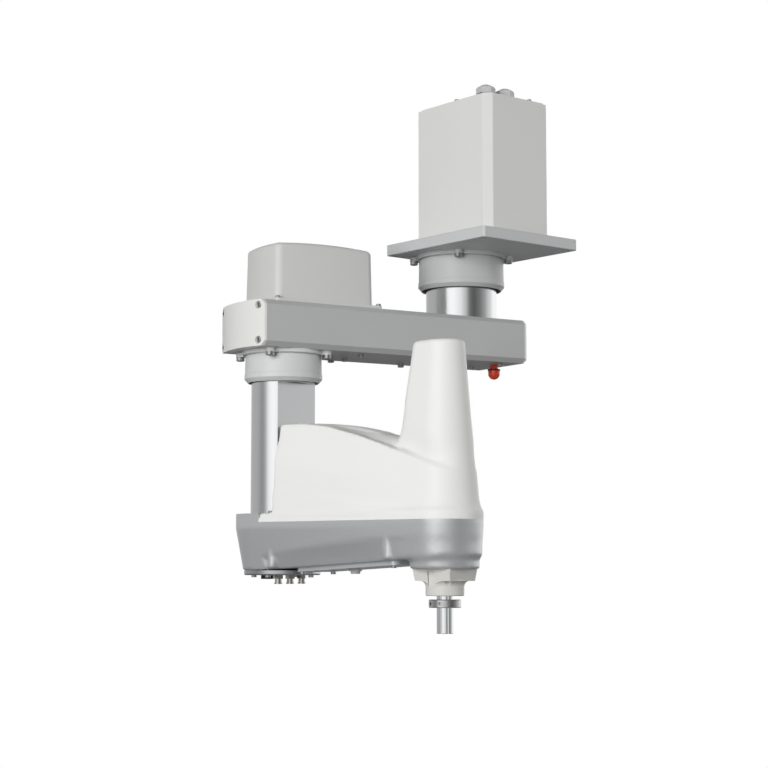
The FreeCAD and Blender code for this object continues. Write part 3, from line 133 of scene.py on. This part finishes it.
# Turned or ground metal: fine rings around the piece's own upright axis, which draw reflections out along it
def turnedMetal(name, look):
    material, tree, place = newMaterial(name)
    rings = addNode(tree, "ShaderNodeMapping", {
        "Vector": place, "Scale": (1.0, 1.0, 1 / (look["toolMarkMm"] * mm))})
    marks = addNode(tree, "ShaderNodeTexNoise", {"Vector": rings.outputs[0], "Scale": 1.0, "Detail": 2.0})
    colour = addNode(tree, "ShaderNodeMix", {
        0: marks.outputs["Fac"], 6: linearColour(look["dark"]), 7: linearColour(look["light"]),
    }, data_type="RGBA")
    rough = addNode(tree, "ShaderNodeMapRange", {
        0: marks.outputs["Fac"], 3: look["roughness"] - 0.04, 4: look["roughness"] + 0.05})
    bump = addNode(tree, "ShaderNodeBump", {
        "Height": marks.outputs["Fac"], "Strength": look["marks"], "Distance": 0.02 * mm})
    shader = addNode(tree, "ShaderNodeBsdfPrincipled", {
        "Base Color": colour.outputs[2], "Metallic": 1.0,
        "Roughness": rough.outputs[0], "Normal": bump.outputs[0],
    })
    addNode(tree, "ShaderNodeOutputMaterial", {"Surface": shader.outputs[0]})
    return material


# Moulded plastic: the tool's fine spark-eroded grain, with a little unevenness in gloss
def mouldedPlastic(name, look):
    material, tree, place = newMaterial(name)
    grain = addNode(tree, "ShaderNodeTexNoise", {
        "Vector": place, "Scale": 1 / (look["grainMm"] * mm), "Detail": 4.0})
    cloud = addNode(tree, "ShaderNodeTexNoise", {
        "Vector": place, "Scale": 1 / (look["cloudMm"] * mm), "Detail": 2.0})
    colour = addNode(tree, "ShaderNodeMix", {
        0: cloud.outputs["Fac"], 6: linearColour(look["dark"]), 7: linearColour(look["light"]),
    }, data_type="RGBA")
    rough = addNode(tree, "ShaderNodeMapRange", {
        0: grain.outputs["Fac"], 3: look["roughness"] - 0.05, 4: look["roughness"] + 0.05})
    bump = addNode(tree, "ShaderNodeBump", {
        "Height": grain.outputs["Fac"], "Strength": look["grain"], "Distance": 0.03 * mm})
    shader = addNode(tree, "ShaderNodeBsdfPrincipled", {
        "Base Color": colour.outputs[2], "Roughness": rough.outputs[0], "Normal": bump.outputs[0],
        "IOR": look.get("ior", 1.49), "Coat Weight": look.get("coat", 0.0), "Coat Roughness": 0.08,
        "Subsurface Weight": look.get("subsurface", 0.0), "Subsurface Radius": (0.004, 0.002, 0.001),
        "Subsurface Scale": 1.0,
    })
    addNode(tree, "ShaderNodeOutputMaterial", {"Surface": shader.outputs[0]})
    return material


materials = {
    "base_cover_paint": powderCoat("powder_coat_light_grey", {
        "light": "#E4E4E2", "dark": "#E0E0DE", "roughness": 0.5, "peelMm": 1.2, "cloudMm": 60, "peel": 0.12}),
    "housing_paint": powderCoat("powder_coat_housing_grey", {
        "light": "#D0D1D1", "dark": "#CCCDCD", "roughness": 0.34, "peelMm": 1.0, "cloudMm": 40, "peel": 0.12}),
    # the same housing paint made darker, as painted shade for the upper housing under the base plate
    "j1_housing_painted_shade": powderCoat("powder_coat_housing_grey_painted_shade", {
        "light": "#BEBFBF", "dark": "#BABBBB", "roughness": 0.34, "peelMm": 1.0, "cloudMm": 40, "peel": 0.12}),
    "beam_paint": powderCoat("powder_coat_beam_grey", {
        "light": "#B9BABA", "dark": "#B4B5B5", "roughness": 0.42, "peelMm": 1.0, "cloudMm": 60, "peel": 0.12}),
    "cap_paint": powderCoat("powder_coat_cap_white", {
        "light": "#E6E6E3", "dark": "#E2E2DF", "roughness": 0.42, "peelMm": 1.0, "cloudMm": 40, "peel": 0.12}),
    "motor_black": powderCoat("powder_coat_motor_black", {
        "light": "#2A2A2C", "dark": "#232325", "roughness": 0.5, "peelMm": 1.0, "cloudMm": 40, "peel": 0.15}),
    "casting_paint": metallicLacquer("metallic_lacquer_silver", {
        "light": "#E2E4E6", "dark": "#DADCDE", "roughness": 0.4, "metallic": 0.7, "coat": 0.15,
        "flakeMm": 0.35, "cloudMm": 12, "peel": 0.05}),
    "plate_aluminium": metallicLacquer("anodised_aluminium_plate", {
        "light": "#CFD0D1", "dark": "#C9CACB", "roughness": 0.5, "metallic": 0.05, "coat": 0.0,
        "flakeMm": 0.4, "cloudMm": 20, "peel": 0.04}),
    "column_aluminium": turnedMetal("turned_aluminium", {
        "light": "#F4F5F6", "dark": "#EBECED", "roughness": 0.2, "toolMarkMm": 0.5, "marks": 0.12}),
    "disc_aluminium": turnedMetal("faced_aluminium", {
        "light": "#D2D3D5", "dark": "#C6C7C9", "roughness": 0.3, "toolMarkMm": 0.5, "marks": 0.1}),
    "bracket_aluminium": turnedMetal("milled_aluminium", {
        "light": "#C8C9CB", "dark": "#BCBDBF", "roughness": 0.38, "toolMarkMm": 0.6, "marks": 0.1}),
    "pulley_aluminium": turnedMetal("hobbed_aluminium", {
        "light": "#C6C7C9", "dark": "#B6B7B9", "roughness": 0.35, "toolMarkMm": 0.6, "marks": 0.1}),
    "shaft_steel": turnedMetal("ground_steel", {
        "light": "#EEEFF0", "dark": "#E4E5E6", "roughness": 0.08, "toolMarkMm": 0.3, "marks": 0.05}),
    "collar_steel": turnedMetal("nickel_plated_steel", {
        "light": "#D6D6D6", "dark": "#CACACA", "roughness": 0.2, "toolMarkMm": 0.4, "marks": 0.06}),
    "bearing_steel": turnedMetal("bearing_steel", {
        "light": "#C9CACC", "dark": "#BEBFC1", "roughness": 0.16, "toolMarkMm": 0.4, "marks": 0.05}),
    "reducer_steel": turnedMetal("machined_steel", {
        "light": "#B4B5B7", "dark": "#A6A7A9", "roughness": 0.35, "toolMarkMm": 0.5, "marks": 0.1}),
    "steel_screws": turnedMetal("zinc_plated_steel", {
        "light": "#CFD0D1", "dark": "#BFC0C1", "roughness": 0.28, "toolMarkMm": 0.4, "marks": 0.08}),
    "fitting_nickel": turnedMetal("nickel_plated_brass", {
        "light": "#D8D5CE", "dark": "#CCC9C2", "roughness": 0.22, "toolMarkMm": 0.4, "marks": 0.06}),
    "shell_plastic": mouldedPlastic("moulded_abs_white", {
        "light": "#EDEDEB", "dark": "#EAEAE8", "roughness": 0.4, "grainMm": 0.8, "cloudMm": 70, "grain": 0.06}),
    "motor_cover_plastic": mouldedPlastic("moulded_abs_grey", {
        "light": "#D2D3D1", "dark": "#CECFCD", "roughness": 0.38, "grainMm": 0.7, "cloudMm": 50, "grain": 0.15}),
    "gland_plastic": mouldedPlastic("moulded_nylon_grey", {
        "light": "#C9CAC9", "dark": "#C2C3C2", "roughness": 0.4, "grainMm": 0.6, "cloudMm": 12, "grain": 0.12}),
    "black_plastic": mouldedPlastic("moulded_nylon_black", {
        "light": "#1E1E20", "dark": "#18181A", "roughness": 0.42, "grainMm": 0.5, "cloudMm": 10, "grain": 0.15}),
    "bushing_plastic": mouldedPlastic("moulded_acetal_grey", {
        "light": "#D6D5D0", "dark": "#D1D0CB", "roughness": 0.38, "grainMm": 0.6, "cloudMm": 20, "grain": 0.1}),
    "button_plastic": mouldedPlastic("moulded_abs_button", {
        "light": "#D0D0CE", "dark": "#CACAC8", "roughness": 0.35, "grainMm": 0.5, "cloudMm": 10, "grain": 0.08}),
    "lamp_lens": mouldedPlastic("moulded_polycarbonate_red", {
        "light": "#D8401E", "dark": "#C93517", "roughness": 0.14, "grainMm": 0.5, "cloudMm": 8, "grain": 0.02,
        "ior": 1.58, "coat": 0.6, "subsurface": 0.35}),
    "black_rubber": mouldedPlastic("moulded_nitrile_black", {
        "light": "#161617", "dark": "#111112", "roughness": 0.65, "grainMm": 0.6, "cloudMm": 10, "grain": 0.2}),
    "belt_rubber": mouldedPlastic("neoprene_belt", {
        "light": "#1C1C1D", "dark": "#161617", "roughness": 0.7, "grainMm": 0.6, "cloudMm": 10, "grain": 0.25}),
}
print("materials:", len(materials))

slotOfNode = {part["node"]: part["material_slot"] for part in frame["record"]["subparts"]}
for name, cadNode in nodes.items():
    cadNode.data.materials.clear()
    cadNode.data.materials.append(materials[slotOfNode[name]])
nodes["j1_bearing_housing"].data.materials[0] = materials["j1_housing_painted_shade"]  # the upper housing takes a darker copy of the housing paint: painted shade from the base plate above it
print("materials are on the CAD nodes")


# Arm 2: the moulded cover and the casting get the softened edges that moulding and casting leave
armTwo = {"hingeMm": (64.314, 222.810), "heading": 187.4, "reachMm": 225.0, "seamMm": -312.0}
coverLook = {
    "voxelMm": 1.7, "edgeRounds": 3, "rimMm": 4.0,
    "flareRounds": 30, "flareFromMm": (150.0, 62.0), "flareToMm": (206.0, 112.0),
    "ridgeMm": ((20.0, 99.0), (62.0, 98.6), (100.0, 94.2), (140.0, 83.8), (180.0, 71.4), (225.0, 56.0),
                (268.0, 42.5)),
    "ledgeMm": 3.4, "ledgeFromMm": 165.0, "ledgeToMm": 262.0, "ledgeStartMm": 20.0, "ledgeEndMm": 30.0,
    "ledgeFadeMm": 30.0, "ledgeAcrossMm": (8.0, 22.0),
    "scoopMm": 3.2, "scoopFromMm": 70.0, "scoopToMm": 200.0, "scoopStartMm": 40.0, "scoopEndMm": 20.0,
    "scoopAcrossMm": 12.0, "scoopFadeMm": (4.0, 14.0),
    "waistMm": 64.0, "waistSlope": -0.135, "waistBulgeMm": 2.4, "waistAboveMm": 38.0, "waistBelowMm": 55.0,
    "waistFadeMm": (120.0, 230.0),
}
castingLook = {
    "voxelMm": 1.5, "edgeRounds": 3,
    "creaseMm": -34.5, "creaseSlope": 0.085, "bellyMm": -49.0, "bellySlope": 0.0533,
    "hingeRadiusMm": 48.5, "shaftRadiusMm": 37.3, "undercutMm": 6.5, "undercutFrom": 0.12, "undercutTo": 0.85,
    "undercutLean": 1.4, "wallMm": 13.0, "boltBossMm": ((27.0, 44.5), (183.0, 35.0)), "boltBossRadiusMm": 6.0,
    "noseBackMm": 22.0, "noseRounds": 25, "lipBackMm": 34.0, "lipTopMm": -29.0, "lipBottomMm": -46.0,
    "lipRounds": 9, "rimMm": -3.0,
}


def onArmTwo(point):
    # where a point lies in mm: along the arm from the hinge, across it, and over the seam
    turn = math.radians(armTwo["heading"])
    x, y = point.x / mm - armTwo["hingeMm"][0], point.y / mm - armTwo["hingeMm"][1]
    return (x * math.cos(turn) + y * math.sin(turn), y * math.cos(turn) - x * math.sin(turn),
            point.z / mm - armTwo["seamMm"])


def acrossArmTwo():
    turn = math.radians(armTwo["heading"])
    return Vector((-math.sin(turn), math.cos(turn), 0.0))


def evenCopy(nodeName, pieceName, voxelMm, cutMm, keepAbove):
    # a CAD node's merged copy: remeshed evenly on one side of a level cut, and as it is on the rim's side
    merged = bmesh.new()
    merged.from_mesh(nodes[nodeName].data)
    bmesh.ops.remove_doubles(merged, verts=merged.verts, dist=0.01 * mm)
    mesh = bpy.data.meshes.new(pieceName)
    merged.to_mesh(mesh)
    piece = bpy.data.objects.new(pieceName, mesh)
    bpy.context.scene.collection.objects.link(piece)
    even = piece.modifiers.new("even_mesh", "REMESH")
    even.mode = "VOXEL"
    even.voxel_size = voxelMm * mm
    seen = piece.evaluated_get(bpy.context.evaluated_depsgraph_get())
    remeshed = bpy.data.meshes.new_from_object(seen)
    piece.modifiers.clear()
    piece.data = remeshed
    level = Vector((0, 0, (armTwo["seamMm"] + cutMm) * mm))
    up = Vector((0, 0, 1))
    shape = bmesh.new()
    shape.from_mesh(remeshed)
    for part, keepsUpper in ((shape, keepAbove), (merged, not keepAbove)):
        everything = list(part.verts) + list(part.edges) + list(part.faces)
        bmesh.ops.bisect_plane(part, geom=everything, plane_co=level, plane_no=up,
                               clear_inner=keepsUpper, clear_outer=not keepsUpper)
        # the cut is closed again, and its border keeps the skin's own shading
        border = [edge for edge in part.edges if len(edge.link_faces) == 1]
        bmesh.ops.triangle_fill(part, edges=border, use_beauty=True, normal=up)
        bmesh.ops.recalc_face_normals(part, faces=part.faces)
        for edge in border:
            edge.tag = True
    return piece, shape, merged


def soften(shape, chosen, rounds):
    for _ in range(rounds):
        bmesh.ops.smooth_vert(shape, verts=chosen, factor=0.5,
                              use_axis_x=True, use_axis_y=True, use_axis_z=True)


def finishPiece(piece, shape, rim, body, slot, replacedNode):
    # the rim keeps its crisp moulded edge, the rest is smooth
    for edge in rim.edges:
        edge.smooth = not edge.tag and len(edge.link_faces) == 2 and edge.calc_face_angle(0.0) < 0.5
    for edge in shape.edges:
        edge.smooth = not edge.tag
    for part in (shape, rim):
        for face in part.faces:
            face.smooth = True
    rimMesh = bpy.data.meshes.new("rim")
    rim.to_mesh(rimMesh)
    rim.free()
    shape.from_mesh(rimMesh)
    bpy.data.meshes.remove(rimMesh)
    shape.to_mesh(piece.data)
    shape.free()
    piece.data.materials.clear()
    piece.data.materials.append(materials[slot])
    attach(piece, body)
    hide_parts(replacedNode)
    print(piece.name, "has", len(piece.data.polygons), "faces")


def ease(value, low, high):
    share = min(1.0, max(0.0, (value - low) / (high - low)))
    return share * share * (3 - 2 * share)


def ridgeOver(along):
    points = coverLook["ridgeMm"]
    for (x0, z0), (x1, z1) in zip(points, points[1:]):
        if along <= x1:
            return z0 + (z1 - z0) * (along - x0) / (x1 - x0)
    return points[-1][1]


def inward(along, across):
    # the level direction from the cover's skin towards its middle, in world axes
    turn = math.radians(armTwo["heading"])
    x, y = max(0.0, along - armTwo["reachMm"]), across
    length = math.hypot(x, y) or 1.0
    x, y = -x / length, -y / length
    return Vector((x * math.cos(turn) - y * math.sin(turn), x * math.sin(turn) + y * math.cos(turn), 0.0))


def makeCover():
    look = coverLook
    piece, shape, rim = evenCopy("arm_2_cover", "arm_2_cover_moulding", look["voxelMm"], look["rimMm"], True)
    low, high = look["flareFromMm"], look["flareToMm"]
    upper, flare = [], []
    for vert in shape.verts:
        along, across, over = onArmTwo(vert.co)
        above = over - ridgeOver(along)
        step = 0.0
        if look["ledgeFromMm"] < along < look["ledgeToMm"] and above > -1.0:
            # the tower's wall stands a little inside the ridge, so the ridge runs on as a fading ledge
            ends = ease(along, look["ledgeFromMm"], look["ledgeFromMm"] + look["ledgeStartMm"])
            ends *= ease(-along, -look["ledgeToMm"], look["ledgeEndMm"] - look["ledgeToMm"])
            step = look["ledgeMm"] * ends * ease(above, -1.0, 1.2) * ease(-above, -look["ledgeFadeMm"], -2.0)
            step *= ease(abs(across), *look["ledgeAcrossMm"])
        waist = over - look["waistMm"] - look["waistSlope"] * along
        if above < -2.0 and over > look["rimMm"]:
            side = 1 + waist / look["waistBelowMm"] if waist < 0 else 1 - waist / look["waistAboveMm"]
            ends = ease(-above, 2.0, 12.0) * ease(-along, -look["waistFadeMm"][1], -look["waistFadeMm"][0])
            step -= look["waistBulgeMm"] * max(0.0, side) * ends
        if step:
            vert.co += inward(along, across) * step * mm
        inScoop = look["scoopFromMm"] < along < look["scoopToMm"] and abs(across) > look["scoopAcrossMm"]
        if inScoop and above > 0.3:
            ends = ease(along, look["scoopFromMm"], look["scoopFromMm"] + look["scoopStartMm"])
            ends *= ease(-along, -look["scoopToMm"], look["scoopEndMm"] - look["scoopToMm"])
            fade = ease(above, 0.3, 1.5) * ease(-above, -look["scoopFadeMm"][1], -look["scoopFadeMm"][0])
            vert.co.z -= look["scoopMm"] * mm * ends * fade
        if over > look["rimMm"] + 1.0:
            upper.append(vert)
        if low[0] < along < high[0] and low[1] < over < high[1] and above > 4.0:
            flare.append(vert)
    soften(shape, flare, look["flareRounds"])
    soften(shape, upper, look["edgeRounds"])
    finishPiece(piece, shape, rim, "arm_2", "shell_plastic", "arm_2_cover")


def undercutShare(along):
    # none at the hinge and at the nose, most in between
    low, high = castingLook["undercutFrom"], castingLook["undercutTo"]
    share = (along / armTwo["reachMm"] - low) / (high - low)
    return math.sin(math.pi * share ** castingLook["undercutLean"]) if 0.0 < share < 1.0 else 0.0


def makeCasting():
    look = castingLook
    piece, shape, rim = evenCopy("arm_2_casting", "arm_2_casting_skin", look["voxelMm"], look["rimMm"], False)
    side = acrossArmTwo()
    nose, lip, low = [], [], []
    for vert in shape.verts:
        along, across, over = onArmTwo(vert.co)
        crease = look["creaseMm"] + look["creaseSlope"] * along
        belly = look["bellyMm"] + look["bellySlope"] * along
        taper = (look["shaftRadiusMm"] - look["hingeRadiusMm"]) / armTwo["reachMm"]
        outer = look["hingeRadiusMm"] + taper * along
        nearBoss = min(math.dist((along, abs(across)), boss) for boss in look["boltBossMm"])
        if over < crease and nearBoss > look["boltBossRadiusMm"]:
            depth = min(1.0, (crease - over) / (crease - belly))
            skin = min(1.0, max(0.0, (abs(across) - outer + look["wallMm"]) / look["wallMm"]))
            inset = look["undercutMm"] * mm * undercutShare(along) * depth * skin
            vert.co -= side * math.copysign(inset, across)
        if along > armTwo["reachMm"] - look["noseBackMm"] and look["lipTopMm"] < over < look["rimMm"] - 1.0:
            nose.append(vert)
        if along > armTwo["reachMm"] - look["lipBackMm"] and look["lipBottomMm"] < over < look["lipTopMm"]:
            lip.append(vert)
        if over < look["rimMm"] - 1.0:
            low.append(vert)
    soften(shape, nose, look["noseRounds"])
    soften(shape, lip, look["lipRounds"])
    soften(shape, low, look["edgeRounds"])
    finishPiece(piece, shape, rim, "arm_2", "casting_paint", "arm_2_casting")


makeCover()
makeCasting()
print("arm 2 has its moulded cover and its casting")


# Stage: floor, world, lamps and camera
stage = {
    "floorDrop": 0.75,
    "floorSize": 14.0,
    "floorTone": "#868686",
    "paperTone": "#8C8C8C",
    "paperInMetal": 0.17,
    "whiteStrength": 1.0,
    "skyStrength": 0.08,
    "wallStrength": 1.1,
    "ceilingTone": "#7A7A7A",
    "ceilingHeight": (0.35, 0.85),
    "bankTone": "#FFFFFF",
    "bankHeading": 95.0,
    "bankHeight": 40.0,
    "bankNearness": (0.76, 0.92),
    "paperGrain": 40.0,
}

# what polished metal sees round the studio, as a share of a turn from west through south, east and north
studioWalls = (
    (0.0, "#545454"), (1.0, "#545454"), (0.05, "#6E6E6E"), (0.10, "#929292"), (0.17, "#CCCCCC"),
    (0.24, "#FAFAFA"), (0.36, "#F4F4F4"), (0.50, "#ABABAB"), (0.60, "#A8A8A8"), (0.685, "#8A8A8A"),
    (0.715, "#969696"), (0.76, "#EEEEEE"), (0.80, "#FFFFFF"), (0.87, "#ECECEC"), (0.92, "#C2C2C2"),
    (0.96, "#6A6A6A"),
)


def makeFloor():
    lowest = cadBox[0][2]
    bpy.ops.mesh.primitive_plane_add(size=stage["floorSize"], location=(0, 0, lowest - stage["floorDrop"]))
    floor = bpy.context.object
    floor.name = "studio_floor"
    material, tree, place = newMaterial("floor_paper")
    grain = addNode(tree, "ShaderNodeTexNoise", {"Vector": place, "Scale": stage["paperGrain"]})
    tone = addNode(tree, "ShaderNodeMix", {
        0: grain.outputs["Fac"], 6: linearColour(stage["floorTone"]), 7: linearColour(stage["paperTone"])},
        data_type="RGBA")
    matte = addNode(tree, "ShaderNodeBsdfDiffuse", {"Color": tone.outputs[2]})
    white = addNode(tree, "ShaderNodeEmission", {
        "Color": linearColour("#FFFFFF"), "Strength": stage["whiteStrength"]})
    inMetal = addNode(tree, "ShaderNodeEmission", {
        "Color": linearColour("#FFFFFF"), "Strength": stage["paperInMetal"]})
    path = addNode(tree, "ShaderNodeLightPath")
    glossy = addNode(tree, "ShaderNodeMixShader", {
        0: path.outputs["Is Glossy Ray"], 1: matte.outputs[0], 2: inMetal.outputs[0]})
    seen = addNode(tree, "ShaderNodeMath", {
        0: path.outputs["Is Camera Ray"], 1: path.outputs["Is Transmission Ray"]}, operation="MAXIMUM")
    mix = addNode(tree, "ShaderNodeMixShader", {0: seen.outputs[0], 1: glossy.outputs[0], 2: white.outputs[0]})
    addNode(tree, "ShaderNodeOutputMaterial", {"Surface": mix.outputs[0]})
    floor.data.materials.append(material)


def makeWorld():
    world = bpy.data.worlds.new("studio")
    bpy.context.scene.world = world
    world.use_nodes = True
    tree = world.node_tree
    tree.nodes.clear()
    light = addNode(tree, "ShaderNodeBackground", {
        "Color": linearColour("#FFFFFF"), "Strength": stage["skyStrength"]})
    direction = addNode(tree, "ShaderNodeTexCoord").outputs["Generated"]
    parts = addNode(tree, "ShaderNodeSeparateXYZ", {0: direction})
    turn = addNode(tree, "ShaderNodeMath", {0: parts.outputs[1], 1: parts.outputs[0]}, operation="ARCTAN2")
    around = addNode(tree, "ShaderNodeMapRange", {0: turn.outputs[0], 1: -math.pi, 2: math.pi})
    walls = addNode(tree, "ShaderNodeValToRGB", {0: around.outputs[0]})
    stops = walls.color_ramp
    stops.interpolation = "EASE"
    for step, (at, tone) in enumerate(studioWalls):
        stop = stops.elements[step] if step < 2 else stops.elements.new(at)
        stop.position = at
        stop.color = linearColour(tone)
    low, high = stage["ceilingHeight"]
    upward = addNode(tree, "ShaderNodeMapRange", {0: parts.outputs[2], 1: low, 2: high})
    room = addNode(tree, "ShaderNodeMix", {
        0: upward.outputs[0], 6: walls.outputs[0], 7: linearColour(stage["ceilingTone"])}, data_type="RGBA")
    heading, height = math.radians(stage["bankHeading"]), math.radians(stage["bankHeight"])
    bankPlace = (math.cos(heading) * math.cos(height), math.sin(heading) * math.cos(height), math.sin(height))
    nearBank = addNode(tree, "ShaderNodeVectorMath", {0: direction, 1: bankPlace}, operation="DOT_PRODUCT")
    low, high = stage["bankNearness"]
    bank = addNode(tree, "ShaderNodeMapRange", {0: nearBank.outputs["Value"], 1: low, 2: high})
    lit = addNode(tree, "ShaderNodeMix", {
        0: bank.outputs[0], 6: room.outputs[2], 7: linearColour(stage["bankTone"])}, data_type="RGBA")
    shown = addNode(tree, "ShaderNodeBackground", {"Color": lit.outputs[2], "Strength": stage["wallStrength"]})
    white = addNode(tree, "ShaderNodeBackground", {
        "Color": linearColour("#FFFFFF"), "Strength": stage["whiteStrength"]})
    path = addNode(tree, "ShaderNodeLightPath")
    glossy = addNode(tree, "ShaderNodeMixShader", {
        0: path.outputs["Is Glossy Ray"], 1: light.outputs[0], 2: shown.outputs[0]})
    seen = addNode(tree, "ShaderNodeMath", {
        0: path.outputs["Is Camera Ray"], 1: path.outputs["Is Transmission Ray"]}, operation="MAXIMUM")
    mix = addNode(tree, "ShaderNodeMixShader", {0: seen.outputs[0], 1: glossy.outputs[0], 2: white.outputs[0]})
    addNode(tree, "ShaderNodeOutputWorld", {"Surface": mix.outputs[0]})


camera = {
    "place": (-1.4737, 1.3462, -0.3529), "heading": -39.325, "pitch": 5.6,
    "focalPixels": 1819.2, "imagePixels": 768,
}
lamps = {
    "key_softbox": {"place": (-0.95, 2.6, 0.15), "size": 1.8, "power": 66},
    "fill_softbox": {"place": (-2.3, -1.4, 0.2), "size": 1.8, "power": 26},
    "rim_softbox": {"place": (0.3, -2.6, 0.5), "size": 1.6, "power": 20},
}


def aimAt(thing, direction):
    thing.rotation_euler = Vector(direction).to_track_quat("-Z", "Y").to_euler()


def makeCamera():
    view = bpy.data.cameras.new("photo_view")
    view.sensor_width = 36.0
    view.lens = camera["focalPixels"] / camera["imagePixels"] * view.sensor_width
    view.clip_end = 50.0
    thing = bpy.data.objects.new("photo_view", view)
    thing.location = camera["place"]
    heading, pitch = math.radians(camera["heading"]), math.radians(camera["pitch"])
    aimAt(thing, (math.cos(heading) * math.cos(pitch), math.sin(heading) * math.cos(pitch), math.sin(pitch)))
    bpy.context.scene.collection.objects.link(thing)
    bpy.context.scene.camera = thing


def makeLamps():
    middle = (Vector(cadBox[0]) + Vector(cadBox[1])) / 2
    for name, lamp in lamps.items():
        light = bpy.data.lights.new(name, "AREA")
        light.shape = "DISK"
        light.size = lamp["size"]
        light.energy = lamp["power"]
        thing = bpy.data.objects.new(name, light)
        thing.location = lamp["place"]
        aimAt(thing, middle - Vector(lamp["place"]))
        thing.visible_camera = False
        thing.visible_glossy = False  # polished metal sees the studio walls instead
        bpy.context.scene.collection.objects.link(thing)


makeFloor()
makeWorld()
makeLamps()
makeCamera()
bpy.context.scene.view_settings.view_transform = "Standard"
print("stage, lamps and camera are in place")
